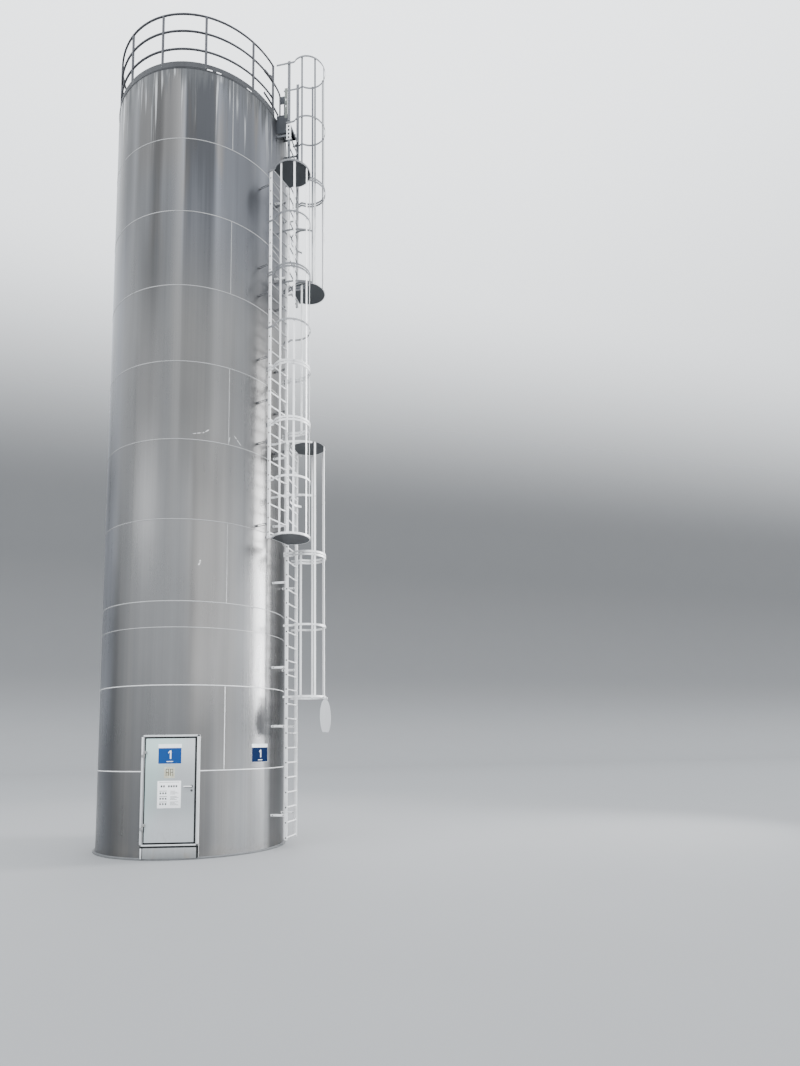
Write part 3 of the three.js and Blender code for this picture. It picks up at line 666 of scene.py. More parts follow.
def makeFoot():
    bm = bmesh.new()
    inner, outer, top, edge = foot["inner"], foot["outer"], foot["height"], foot["edge"]
    addRing(bm, [
        (inner, 0.0), (outer - edge, 0.0), (outer, edge), (outer, top - edge),
        (outer - edge, top), (inner, top),
    ], steps=shell["steps"])
    newPiece("foot_ring", bm, "foot", "shell_metal", ["base_flange"])
    bm = bmesh.new()
    angle = doorAngle(shell["footDoorHalf"])
    radius, fillet = shell["radius"], foot["fillet"]
    outline = [(radius - 0.002, top), (radius + fillet, top), (radius + 0.002, top + fillet)]
    addRing(bm, outline, angle, 360 - 2 * angle, foot["steps"])
    newPiece("foot_fillet", bm, "foot", "shell_metal", sharp=60)


makeCourses()
makeSeams()
makeFoot()
print("shell made")


# Roof: ring, cone with its nozzle, manhole

roof = {
    "ringInner": 1.640, "ringOuter": 1.757, "ringBottom": 15.0003, "ringHeight": 0.012,
    "radius": 1.690, "pitch": 11, "wall": 0.005, "seat": 15.0126,
    "nozzleRadius": 0.150, "nozzleHeight": 0.210, "nozzleFlange": 0.200, "flangeThick": 0.040,
    "nozzleBolts": 12, "nozzleBoltCircle": 0.176,
    "manholeAzimuth": outerLine, "manholeOffset": 1.0, "manholeRadius": 0.300, "manholeHeight": 0.170,
    "collarThick": 0.014, "collarWall": 0.008, "lidRadius": 0.345, "lidHeight": 0.012, "lidGap": 0.0003,
    "lidBolts": 16, "lidBoltCircle": 0.323,
    "gripHalf": 0.09, "gripBend": 0.02, "gripTube": 0.008, "gripHeight": 0.027,
}


def makeRoof():
    low = roof["ringBottom"]
    high = low + roof["ringHeight"]
    outer = roof["ringOuter"]
    bm = bmesh.new()
    addRing(bm, [
        (roof["ringInner"], low), (outer - 0.002, low), (outer, low + 0.002), (outer, high - 0.002),
        (outer - 0.002, high), (roof["ringInner"], high),
    ], steps=shell["steps"])
    newPiece("roof_rim", bm, "rim", "rail_metal", ["roof_ring"])

    seat, eaves, wall = roof["seat"], roof["radius"], roof["wall"]
    slope = math.tan(math.radians(roof["pitch"]))
    apex = seat + eaves * slope
    top = apex + roof["nozzleHeight"]
    bm = bmesh.new()
    addRing(bm, [(0, apex + wall), (eaves, seat + wall), (eaves, seat), (0, apex)])
    # the nozzle: a blind flange on another, with a groove between them, and its neck
    flange, neck = roof["nozzleFlange"], roof["nozzleRadius"]
    neckFoot = apex - neck * slope
    middle, under, edge = top - roof["flangeThick"] / 2, top - roof["flangeThick"], 0.003
    addRing(bm, [
        (0, top), (flange - edge, top), (flange, top - edge), (flange, middle + 0.001),
        (flange - 0.002, middle), (flange, middle - 0.001), (flange, under + edge), (flange - edge, under),
        (neck, under), (neck, neckFoot), (0, neckFoot),
    ], steps=64)
    outline = [(neck - 0.002, neckFoot), (neck + 0.012, neckFoot), (neck, neckFoot + 0.016)]
    addRing(bm, outline, steps=64)
    newPiece("roof_skin", bm, "roof", "shell_metal", ["roof_cone"])

    spot = turned(roof["manholeAzimuth"]) @ Vector((0, -roof["manholeOffset"], 0))
    lidBottom = apex + roof["manholeHeight"]
    radius, reach = roof["manholeRadius"], roof["lidRadius"]
    inside, foothold, under = radius - roof["collarWall"], seat + 0.02, lidBottom - roof["collarThick"]
    bm = bmesh.new()
    addRing(bm, [
        (inside, foothold), (radius, foothold), (radius, under), (reach, under),
        (reach, lidBottom), (inside, lidBottom),
    ], steps=72, centre=spot)
    newPiece("manhole_collar", bm, "roof", "shell_metal", ["manhole_neck"])
    bm = bmesh.new()
    low = lidBottom + roof["lidGap"]
    high = low + roof["lidHeight"]
    outline = [(0, high), (reach - edge, high), (reach, high - edge), (reach, low), (0, low)]
    addRing(bm, outline, steps=72, centre=spot)
    # its grip is a bent round bar
    foot, bend, tall = high - 0.002, roof["gripHalf"] - roof["gripBend"], roof["gripHeight"]
    place = Matrix.Translation(spot + Vector((-roof["gripHalf"], 0, foot)))
    face = sweepStraight(bm, roundFace(bm, place, roof["gripTube"], 12), (0, 0, tall))
    face = sweepRound(bm, face, spot + Vector((-bend, 0, foot + tall)), (0, 1, 0), 90, 6)
    face = sweepStraight(bm, face, (2 * bend, 0, 0))
    face = sweepRound(bm, face, spot + Vector((bend, 0, foot + tall)), (0, 1, 0), 90, 6)
    sweepStraight(bm, face, (0, 0, -tall))
    newPiece("manhole_cover", bm, "roof", "shell_metal", ["manhole_lid"])

    bm = bmesh.new()
    for index in range(roof["nozzleBolts"]):
        out = turned(360 / roof["nozzleBolts"] * (index + 0.5)) @ Vector((0, -roof["nozzleBoltCircle"], 0))
        addBolt(bm, out + Vector((0, 0, top)), (0, 0, 1), 0.011, 0.008)
        addBolt(bm, out + Vector((0, 0, top - roof["flangeThick"])), (0, 0, -1), 0.011, 0.012)
    for index in range(roof["lidBolts"]):
        out = turned(360 / roof["lidBolts"] * index) @ Vector((0, -roof["lidBoltCircle"], 0))
        addBolt(bm, spot + out + Vector((0, 0, high)), (0, 0, 1), 0.010, 0.007)
    newPiece("roof_bolts", bm, "bolt", "shell_metal")


makeRoof()
print("roof made")


# Guard rail with toe board, and the landing at the ladder

guard = {
    "radius": 1.716, "tube": 0.020, "post": 0.0255, "heights": (15.440, 15.830, 16.200),
    "posts": (90, 115, 143.9, 172.7, 201.5, 230.3, 259.2, 288, 316.8, 344, 372.3, 404.8, 424.4),
    "sections": (0, 3, 6, 9, 12), "foot": 15.0126, "footHalf": 0.045, "footBack": 0.03, "footHeight": 0.008,
    "collar": 0.031, "collarTop": 0.025, "collarHeight": 0.008,
    "boardInner": 1.736, "boardOuter": 1.744, "boardBottom": 15.030, "boardTop": 15.145,
    "boardSplit": 15.052, "rivets": (15.07, 15.12), "drains": ((372.8, 376.5), (379, 382), (399.5, 403.5)),
    "returnAzimuth": 435.1, "returnTube": 0.019, "returnBend": 0.06,
    "sleeve": (415.0, 424.2, 0.029), "clamp": (421.5, 0.024, 0.030),
    "strayBar": ((414.5, 15.320), (419, 15.290), (424.4, 15.270), (428, 15.262), (431.5, 15.260)),
    "strayTube": 0.020,
}


def toeBoardParts(start, end):
    # the board's lower strip leaves out the drain gaps
    parts = []
    at = start
    for low, high in guard["drains"]:
        if start < low and high < end:
            parts.append((at, low))
            at = high
    return [*parts, (at, end)]


def makeGuardSection(number, first, last):
    bm = bmesh.new()
    radius, low = guard["radius"], guard["foot"]
    collar, tall = low + guard["footHeight"], guard["collarHeight"]
    reach = math.degrees(math.asin(guard["post"] / radius))
    ownFirst = first if first == 0 else first + 1
    start = guard["posts"][first] if first == 0 else guard["posts"][first] + reach * 0.5
    end = guard["posts"][last]
    for height in guard["heights"]:
        addRailArc(bm, radius, height, guard["tube"], start, end)
    half, back = guard["footHalf"], guard["footBack"]
    for azimuth in guard["posts"][ownFirst:last + 1]:
        place = turned(azimuth) @ Matrix.Translation((0, -radius, 0))
        foot, top = place @ Vector((0, 0, low)), place @ Vector((0, 0, guard["heights"][2]))
        addRod(bm, foot, top, guard["post"], 20)
        addBox(bm, (-half, -back, low), (half, half, collar), 0.002, place)
        foot, top = place @ Vector((0, 0, collar)), place @ Vector((0, 0, collar + tall))
        addRod(bm, foot, top, guard["collar"], 20, guard["collarTop"])
    boardEnd = end + reach * 0.9
    inner, outer = guard["boardInner"], guard["boardOuter"]

    def boardStrip(low, high, fromAzimuth, toAzimuth):
        outline = [(inner, low), (outer, low), (outer, high), (inner, high)]
        steps = max(2, round((toAzimuth - fromAzimuth) / 2))
        older = set(bm.faces)
        addRing(bm, outline, fromAzimuth, toAzimuth - fromAzimuth, steps)
        paintNew(bm, older, 1)

    # the toe board takes the dark rim finish: painted shade
    boardStrip(guard["boardSplit"], guard["boardTop"], start, boardEnd)
    for low, high in toeBoardParts(start, boardEnd):
        boardStrip(guard["boardBottom"], guard["boardSplit"], low, high)
    if last == guard["sections"][-1]:
        addLandingReturn(bm)
    newPiece(f"rail_section_{number}", bm, ["rail", "rim"], "rail_metal", [f"guard_rail_{number}"])


def addLandingReturn(bm):
    # the middle rail runs on past its last post and turns down to the roof edge
    height = guard["heights"][1]
    radius, bend = guard["radius"], guard["returnBend"]
    end = guard["returnAzimuth"] - math.degrees(bend / radius)
    face = addRailArc(bm, radius, height, guard["returnTube"], guard["posts"][-1], end)
    place = turned(end)
    centre = place @ Vector((0, -radius, height - bend))
    across = place @ Vector((0, 1, 0))
    face = sweepRound(bm, face, centre, across, 90, 8)
    sweepStraight(bm, face, (0, 0, guard["foot"] - (height - bend)))
    # the sleeve that joins it to the middle rail, its clamp, and a short loose-looking bar below
    first, last, tube = guard["sleeve"]
    addRailArc(bm, radius, height, tube, first, last)
    azimuth, half, tall = guard["clamp"]
    spot = turned(azimuth) @ Matrix.Translation((0, -radius, height + tube))
    addBox(bm, (-half, -half, -0.006), (half, half, tall), 0.003, spot)
    points = [turned(angle) @ Vector((0, -radius, level)) for angle, level in guard["strayBar"]]
    for start, end in zip(points, points[1:]):
        addRod(bm, start, end, guard["strayTube"], 12)


def makeGuardDetails():
    bm = bmesh.new()
    top = guard["foot"] + guard["footHeight"]
    for azimuth in guard["posts"]:
        place = turned(azimuth)
        for side in (-1, 1):
            foot = place @ Vector((side * 0.035, 0.032 - guard["radius"], top))
            addBolt(bm, foot, (0, 0, 1), 0.007, 0.006)
        # two rivets through the toe board at each post
        for height in guard["rivets"]:
            foot = place @ Vector((0, -guard["boardOuter"], height))
            addBolt(bm, foot, place @ Vector((0, -1, 0)), 0.007, 0.004, 8)
    newPiece("rail_bolts", bm, "bolt", "rail_metal")


for number, (first, last) in enumerate(zip(guard["sections"], guard["sections"][1:]), 1):
    makeGuardSection(number, first, last)
makeGuardDetails()

landing = {
    "azimuth": outerLine, "half": 0.247, "outer": 1.985, "inner": 1.7575, "top": 15.0146, "thick": 0.006,
    "skirt": 0.060, "sideRise": 0.085, "nearDrop": 0.330, "sideThick": 0.008,
    "wall": 1.7345, "rim": 1.7405, "rimLow": 0.006,
    # chequer studs: first place, spacing, number and half size
    "studFirst": (-0.222, -1.785), "studStep": (0.037, -0.034), "studs": (13, 6),
    "studHalf": Vector((0.013, 0.003, 0.0015)),
    "postOuter": 1.974, "postInner": 1.914, "postThick": 0.012, "postTop": 15.710,
    "latchInner": 1.820, "latchLow": 15.350, "latchHigh": 15.530,
    "slots": (15.440, 15.290, 14.785, 14.700, 14.615, 14.530), "slotWide": 0.020, "slotHigh": 0.046,
    "footFace": -0.2785, "footThick": 0.004, "footOuter": 2.071, "footInner": 1.966, "footSlot": 0.036,
    "footLow": 14.480, "footHigh": 14.840,
    "stay": ((1.978, -0.004), (1.840, -0.012), (1.785, -0.045), (1.756, -0.100), (1.744, -0.150)),
    "stayTube": 0.010,
}


def makeLanding():
    top = landing["top"]
    half = landing["half"]
    outer = landing["outer"]
    bm = bmesh.new()
    thick, sideThick = landing["thick"], landing["sideThick"]
    wall, rim = landing["wall"], landing["rim"]
    nearLow, skirtLow = top - landing["nearDrop"], top - landing["skirt"]
    addBox(bm, (-half, -outer, top - thick), (half, -landing["inner"], top), 0.001)
    addBox(bm, (-half, -outer, skirtLow), (half, -outer + thick, top - 0.001), 0.001)
    high, ringLow, front = top + landing["sideRise"], roof["ringBottom"] - landing["rimLow"], outer - 0.001
    for left, low in ((-half, nearLow), (half - sideThick, skirtLow)):
        outline = [(front, low), (wall, low), (wall, ringLow), (rim, ringLow), (rim, high), (front, high)]
        face = flatFace(bm, [(left, -y, z) for y, z in outline])
        sweepStraight(bm, face, (sideThick, 0, 0))
    newPiece("landing_floor", bm, "landing", "rail_metal", ["landing_plate"], landing["azimuth"])
    makeLatch(nearLow)
    # chequer studs on the floor
    bm = bmesh.new()
    (firstX, firstY), (stepX, stepY) = landing["studFirst"], landing["studStep"]
    columns, rows = landing["studs"]
    for row in range(rows):
        for column in range(columns):
            spot = Matrix.Translation((firstX + stepX * column, firstY + stepY * row, top + 0.0005))
            slant = turned(45 if (row + column) % 2 else -45)
            addBox(bm, -landing["studHalf"], landing["studHalf"], 0, spot @ slant)
    newPiece("landing_studs", bm, "landing", "rail_metal", (), landing["azimuth"])


def makeLatch(low):
    # a slotted post on the door side of the landing, the slotted plate that ties the
    # landing to the stringer, and the dark plate that the post carries
    left = -landing["half"]
    tall = landing["slotHigh"] / 2
    for name, face, thick, outer, inner, bottom, top, slot, look, slotLook in (
        ("foot", landing["footFace"], landing["footThick"], landing["footOuter"], landing["footInner"],
         landing["footLow"], landing["footHigh"], landing["footSlot"], "ladder", "hole"),
        ("post", left, landing["postThick"], landing["postOuter"], landing["postInner"],
         landing["top"], landing["postTop"], landing["slotWide"], "strip", "ladder"),
    ):
        bm = bmesh.new()
        addBox(bm, (face - 0.0004, -outer, bottom), (face + thick, -inner, top), 0.001)
        newPiece(f"latch_{name}", bm, look, "rail_metal", (), landing["azimuth"])
        # slots as blocks: the foot's dark ones are painted shade in the slots
        bm = bmesh.new()
        middle = -(outer + inner) / 2
        for height in landing["slots"]:
            if bottom < height < top:
                slotLow = (face - 0.0012, middle - slot / 2, height - tall)
                addBox(bm, slotLow, (face + 0.001, middle + slot / 2, height + tall), 0.0005)
        newPiece(f"latch_{name}_slots", bm, slotLook, "rail_metal", (), landing["azimuth"])
    bm = bmesh.new()
    side = left + landing["sideThick"] / 2
    points = [Vector((side, -radius, low + drop)) for radius, drop in landing["stay"]]
    for start, end in zip(points, points[1:]):
        addRod(bm, start, end, landing["stayTube"], 12)
    newPiece("landing_stay", bm, "landing", "rail_metal", (), landing["azimuth"])
    bm = bmesh.new()
    back = landing["latchInner"]
    addBox(
        bm, (left, -landing["postInner"] - 0.002, landing["latchLow"]),
        (left + landing["sideThick"], -back, landing["latchHigh"]), 0.0015,
    )
    # its hook, which leans out over the post's foot
    lean = Matrix.Translation((left + 0.004, -landing["postInner"] - 0.012, landing["latchLow"] - 0.02))
    lean = lean @ Matrix.Rotation(math.radians(35), 4, "X")
    addBox(bm, (-0.005, -0.009, -0.045), (0.005, 0.009, 0.045), 0.001, lean)
    newPiece("latch_plate", bm, "landing", "rail_metal", (), landing["azimuth"])


makeLanding()
print("guard rail and landing made")


# Ladder flights

ladder = {
    "radius": 2.021, "half": 0.265, "thick": 0.020, "depth": 0.060, "rung": 0.014, "spacing": 0.2785,
    "weld": 0.0195,
    "armHalf": 0.022, "armThick": 0.012, "armFoot": 0.024, "slotHalf": 0.011, "slotEnds": (0.040, 0.050),
}
flights = {
    "ladder_low": {
        "azimuth": outerLine, "bottom": 0.165, "top": 7.930, "first": 0.203, "rungs": 28,
        "brackets": (0.617, 2.285, 3.410, 5.070, 6.200, 7.583),
    },
    "ladder_middle": {
        "azimuth": innerLine, "bottom": 5.800, "top": 13.330, "first": 5.908, "rungs": 27,
        "brackets": (6.075, 7.700, 8.530, 9.412, 10.740, 11.330, 13.030),
    },
    "ladder_high": {
        "azimuth": outerLine, "bottom": 11.090, "top": 16.300, "first": 11.285, "rungs": 14,
        "brackets": (11.410, 13.080, 14.594),
    },
}


def addRungEnd(bm, side, height):
    # a rung's open end shows as a dark round on the outer face of its stringer: painted shade inside the tube
    y, face = -ladder["radius"], side * (ladder["half"] + ladder["thick"] / 2)
    foot = (face - side * 0.001, y, height)
    addRod(bm, foot, (face + side * 0.0006, y, height), ladder["rung"] + 0.0035, 16)
    older = set(bm.faces)
    addRod(bm, foot, (face + side * 0.0014, y, height), ladder["rung"] + 0.001, 16)
    paintNew(bm, older, 1)


def addWallBracket(arms, bolts, side, height, slotted):
    # a flat arm from the wall to the back of the stringer
    x = side * ladder["half"]
    wall = math.sqrt(shell["radius"] ** 2 - x ** 2) - 0.001
    back = ladder["radius"] - ladder["depth"] / 2 + 0.002
    half, thick = ladder["armHalf"], ladder["armThick"] / 2
    if slotted:
        slot = ladder["slotHalf"]
        near, far = ladder["slotEnds"]
        low, high = height - slot - 0.001, height + slot + 0.001
        addBox(arms, (x - thick, -back, height + slot), (x + thick, -wall, height + half), 0.002)
        addBox(arms, (x - thick, -back, height - half), (x + thick, -wall, height - slot), 0.002)
        addBox(arms, (x - thick, -wall - near, low), (x + thick, -wall, high))
        addBox(arms, (x - thick, -back, low), (x + thick, -back + far, high))
    else:
        end = (x + thick, -wall - 0.004, height + half)
        addBox(arms, (x - thick, -back, height - half), end, 0.004, None, 3)
    # round foot on the wall, and the bolts through the arm at both ends
    out = turned(math.degrees(math.asin(x / shell["radius"]))) @ Vector((0, -1, 0))
    foot = out * (shell["radius"] - 0.002) + Vector((0, 0, height))
    addRod(arms, foot, foot + out * 0.010, ladder["armFoot"], 20, ladder["armFoot"] - 0.003)
    for y in (-wall - 0.026, -back + 0.022):
        for face in (-1, 1):
            addBolt(bolts, (x + face * thick, y, height), (face, 0, 0), 0.011, 0.006)


def makeLadder(node, flight):
    bm = bmesh.new()
    arms = bmesh.new()
    bolts = bmesh.new()
    slotted = node == "ladder_middle"
    look = "highLadder" if node == "ladder_high" else "ladder"
    half, thick, depth = ladder["half"], ladder["thick"] / 2, ladder["depth"] / 2
    y, rung, weld = -ladder["radius"], ladder["rung"], ladder["weld"]
    for side in (-1, 1):
        x = side * half
        addBox(bm, (x - thick, y - depth, flight["bottom"]), (x + thick, y + depth, flight["top"]), 0.003)
        for height in flight["brackets"]:
            addWallBracket(arms, bolts, side, height, slotted)
    for index in range(flight["rungs"]):
        height = flight["first"] + ladder["spacing"] * index
        inner = half - thick + 0.002
        older = set(bm.faces)
        addRod(bm, (-inner, y, height), (inner, y, height), rung, 14)
        paintNew(bm, older, 2)
        for side in (-1, 1):
            addRungEnd(bm, side, height)
            # weld round the rung's inner end
            face = side * (half - thick)
            start = (face + side * 0.001, y, height)
            addRod(bm, start, (face - side * 0.006, y, height), weld, 14, rung + 0.0002)
    newPiece(f"{node}_bars", bm, [look, "hole", "rung"], "ladder_metal", [node], flight["azimuth"])
    # the middle flight's arms take the dark finish: painted shade
    newPiece(f"{node}_arms", arms, "bracket" if slotted else look, "ladder_metal", (), flight["azimuth"])
    newPiece(f"{node}_bolts", bolts, "bolt" if slotted else "hole", "ladder_metal", (), flight["azimuth"])


for node, flight in flights.items():
    makeLadder(node, flight)
print("ladders made")


# Cages

cage = {
    # the last value is the angle from its front at which a hoop left open ends
    "centre": 2.351, "radius": 0.350, "thick": 0.006, "high": 0.040, "fillet": 0.080,
    "side": 0.2783, "back": 1.957, "topBack": 1.742, "strapWide": 0.040, "strapThick": 0.006,
    "straps": (-93, -47, 0, 47, 93), "shadeCapThick": 0.0045, "shadeCapFront": 1.990,
    "bolts": (-2.004, -2.036), "open": 50,
}
# the hoops' heights, the ones left open on a side where a climber steps across, the
# span of the straps, and the straps that are shorter
cages = {
    "cage_low": {
        "azimuth": outerLine, "hoops": (2.840, 4.215, 5.587, 5.643, 6.755, 7.840),
        "openSide": "left", "openHoops": (6.755, 7.840),
        "span": (2.820, 7.860), "shorter": {-93: (2.820, 5.663)},
    },
    "cage_middle": {
        "azimuth": innerLine, "hoops": (
            5.812, 6.908, 7.997, 8.053, 9.118, 9.173, 9.995, 11.074, 11.130, 12.220, 13.300,
        ),
        "openSide": "right", "openHoops": (5.812, 6.908, 12.220, 13.300),
        "span": (5.792, 13.320), "shorter": {93: (7.977, 11.150)},
    },
    "cage_high": {
        "azimuth": outerLine, "hoops": (11.202, 12.320, 13.428, 13.484, 14.870, 16.245),
        "openSide": "left", "openHoops": (11.202, 12.320),
        "span": (11.182, 16.265), "shorter": {-93: (13.408, 16.265)},
    },
}


def hoopFillet():
    # centre of the small arc between the ladder's side and the hoop, and where it meets the hoop
    reach = cage["side"] + cage["fillet"]
    lift = math.sqrt((cage["radius"] + cage["fillet"]) ** 2 - reach ** 2)
    return reach, lift, math.degrees(math.atan2(lift, reach))


def addHoop(bm, height, openSide, back):
    reach, lift, filletAngle = hoopFillet()
    y = -cage["centre"] + lift
    middle = (0, -cage["centre"], height)
    endAngle = 90 + filletAngle
    thick, half = cage["thick"] / 2, cage["high"] / 2

    def section(place):
        points = ((-thick, -half), (thick, -half), (thick, half), (-thick, half))
        return flatFace(bm, [place @ Vector((x, 0, z)) for x, z in points])

    if openSide == "left":
        start = -cage["open"]
        place = Matrix.Translation(middle) @ turned(start - 90)
        face = section(place @ Matrix.Translation((-cage["radius"], 0, 0)))
    else:
        face = section(Matrix.Translation((-cage["side"], -back, height)))
        face = sweepStraight(bm, face, (0, back + y, 0))
        face = sweepRound(bm, face, (-reach, y, height), (0, 0, 1), -90 + filletAngle, 6)
        start = -endAngle
    end = cage["open"] if openSide == "right" else endAngle
    face = sweepRound(bm, face, middle, (0, 0, 1), end - start, round((end - start) / 5))
    if openSide != "right":
        face = sweepRound(bm, face, (reach, y, height), (0, 0, 1), -90 + filletAngle, 6)
        sweepStraight(bm, face, (0, -back - y, 0))


def addShadedHoopEnd(shadeCaps, bolts, side, height):
    # a dark cap on the hoop's end behind the stringer: painted shade
    x, thick, front, back = side * cage["side"], cage["shadeCapThick"], cage["shadeCapFront"], cage["back"]
    half = cage["high"] / 2 + 0.002
    addBox(shadeCaps, (x - thick, -front, height - half), (x + thick, -back + 0.001, height + half), 0.002)
    addBolt(bolts, (x + side * thick, -(front + back) / 2, height), (side, 0, 0), 0.009, 0.004)


def makeCage(node, made):
    bm = bmesh.new()
    bolts = bmesh.new()
    shadeCaps = bmesh.new()
    for height in made["hoops"]:
        openSide = made["openSide"] if height in made["openHoops"] else None
        top = node == "cage_high" and height == made["hoops"][-1]
        older = set(bm.faces)
        addHoop(bm, height, openSide, cage["topBack"] if top else cage["back"])
        paintNew(bm, older, 1)
        for side in (-1, 1):
            if (side < 0 and openSide == "left") or (side > 0 and openSide == "right"):
                continue
            for y in cage["bolts"]:
                spot = (side * (cage["side"] + cage["thick"] / 2), y, height)
                addBolt(bolts, spot, (side, 0, 0), 0.0075, 0.004)
            if node != "cage_low" and not top:
                addShadedHoopEnd(shadeCaps, bolts, side, height)
    outer = cage["radius"] - cage["thick"] / 2
    inner = outer - cage["strapThick"]
    half = cage["strapWide"] / 2
    for angle in cage["straps"]:
        low, high = made["shorter"].get(angle, made["span"])
        place = Matrix.Translation((0, -cage["centre"], 0)) @ turned(angle)
        addBox(bm, (-half, -outer - 0.0004, low), (half, -inner, high), 0.0012, place, 1)
        for height in made["hoops"]:
            if low < height < high:
                out = place.to_3x3() @ Vector((0, -1, 0))
                addBolt(bolts, place @ Vector((0, -outer - cage["thick"], height)), out, 0.008, 0.005, 8)
                addBolt(bolts, place @ Vector((0, -inner, height)), -out, 0.008, 0.004)
    if node == "cage_low":
        addTrapLugs(bm)
    look = "highLadder" if node == "cage_high" else "ladder"
    newPiece(f"{node}_bars", bm, [look, "rung"], "ladder_metal", [node], made["azimuth"])
    newPiece(f"{node}_bolts", bolts, "bolt", "ladder_metal", (), made["azimuth"])
    if shadeCaps.verts:
        newPiece(f"{node}_clamps", shadeCaps, "bracket", "ladder_metal", (), made["azimuth"])


trap = {
    "hingeRadius": 2.715, "hingeHeight": 2.800, "radius": 0.345, "flat": 0.290, "thick": 0.004,
    "barrel": 0.008, "barrelHalf": 0.107, "gap": 0.0005, "lug": 0.006, "lugTop": 2.840, "lugBack": -2.678,
    "barHalf": 0.26, "pullHalf": 0.050, "pullDepth": 0.02,
}


def addTrapLugs(bm):
    inner = trap["barrelHalf"] + trap["gap"]
    y = -trap["hingeRadius"]
    low, top, thick = trap["hingeHeight"] - 0.010, trap["lugTop"], trap["lug"]
    for left in (-inner - thick, inner):
        right = left + thick
        addBox(bm, (left, y - 0.010, low), (right, y + 0.008, top - 0.001), 0.0015)
        addBox(bm, (left, y - 0.009, top - 0.020), (right, trap["lugBack"], top), 0.0015)


def addDisc(bm, radius, cut, reach, thick):
    # a round plate cut straight on one side and grown on from the cut by a strip;
    # it lies in the plane z = 0 and gets its thickness upwards
    made = bmesh.ops.create_circle(bm, cap_ends=True, segments=96, radius=radius)
    verts = made["verts"]
    geometry = [*verts, *verts[0].link_faces, *{edge for vert in verts for edge in vert.link_edges}]
    halved = bmesh.ops.bisect_plane(
        bm, geom=geometry, plane_co=(0, cut, 0), plane_no=(0, 1, 0), clear_outer=True,
    )
    if reach:
        edge = next(item for item in halved["geom_cut"] if isinstance(item, bmesh.types.BMEdge))
        grown = bmesh.ops.extrude_edge_only(bm, edges=[edge])["geom"]
        corners = [item for item in grown if isinstance(item, bmesh.types.BMVert)]
        bmesh.ops.translate(bm, verts=corners, vec=(0, reach, 0))
        bmesh.ops.dissolve_edges(bm, edges=[edge])
    bm.faces.ensure_lookup_table()
    sweepStraight(bm, bm.faces[0], (0, 0, thick))


plates = {
    "lip": 0.012, "thick": 0.005, "back": 2.063,
    "places": {
        "cage_low_top_plate": (outerLine, 7.8603), "cage_middle_floor_plate": (innerLine, 5.7867),
        "cage_middle_top_plate": (innerLine, 13.3203), "cage_high_floor_plate": (outerLine, 11.1767),
    },
}


def makePlates():
    outer = cage["radius"] + cage["thick"] / 2
    side = cage["side"] + cage["thick"] / 2
    cut = math.sqrt(outer ** 2 - side ** 2)
    reach = cage["centre"] - cut - plates["back"]
    for node, (azimuth, bottom) in plates["places"].items():
        bm = bmesh.new()
        addDisc(bm, outer, cut, reach, plates["thick"])
        # the plate is dark, a painted shade; a ring round its underside keeps the bright ladder metal
        below = min(bm.faces, key=lambda face: face.calc_center_median().z)
        older = set(bm.faces)
        bmesh.ops.inset_region(bm, faces=[below], thickness=plates["lip"], use_even_offset=True)
        paintNew(bm, older, 1)
        bmesh.ops.translate(bm, verts=list(below.verts), vec=(0, 0, plates["thick"] * 0.3))
        bm.transform(Matrix.Translation((0, -cage["centre"], bottom)))
        newPiece(f"{node}_sheet", bm, ["plate", "ladder"], "ladder_metal", [node], azimuth)


def makeTrapdoor():
    y = -trap["hingeRadius"]
    bm = bmesh.new()
    addDisc(bm, trap["radius"], trap["flat"], 0, trap["thick"])
    centre = Vector((0, y - trap["thick"] / 2, trap["hingeHeight"] - trap["radius"] - 0.003))
    bm.transform(Matrix.Translation(centre) @ Matrix.Rotation(-math.pi / 2, 4, "X"))
    # stiffening bar and pull, on the face towards the wall when it hangs
    back = y + trap["thick"] / 2
    bar, pull, depth = trap["barHalf"], trap["pullHalf"], trap["pullDepth"]
    low = centre.z - trap["flat"] + 0.07
    high = low + 0.015
    addBox(bm, (-bar, back - 0.001, centre.z - 0.012), (bar, back + 0.012, centre.z + 0.012), 0.002)
    for x in (-pull, pull - 0.015):
        addBox(bm, (x, back - 0.001, low), (x + 0.015, back + depth, high), 0.002)
    addBox(bm, (-pull, back + 0.012, low), (pull, back + depth, high), 0.002)
    half = trap["barrelHalf"]
    height = trap["hingeHeight"]
    addRod(bm, (-half, y, height), (half, y, height), trap["barrel"], 20, None, 0.001)
    newPiece("trapdoor_sheet", bm, "trap", "ladder_metal", ["cage_trapdoor"], outerLine, "trapdoor")


for node, made in cages.items():
    makeCage(node, made)
makePlates()
makeTrapdoor()
print("cages made")


# Door: frame, leaf, hinges, lever

door = {
    "frameHalf": 0.490, "frameBottom": 0.228, "frameTop": 2.130, "frameFront": 1.762, "frameBack": 1.640,
    "bar": 0.052, "lip": 0.033, "rebate": 0.012, "sill": (0.238, 0.264), "stop": 0.015, "stopFront": 1.696,
    "leafHalf": 0.432, "leafBottom": 0.281, "leafTop": 2.081, "leafFront": 1.747, "leafBack": 1.702,
    "seal": 0.013, "sealFront": 1.741, "sealReach": 0.0035,
    "plinthHalf": 0.478, "plinthFront": 1.757, "plinthBack": 1.700, "plinthThick": 0.012,
    "plinthBottom": 0.0253, "joint": 0.012,
    "panelLeft": -0.437, "panelTop": 0.205, "leftJoint": 0.014,
}


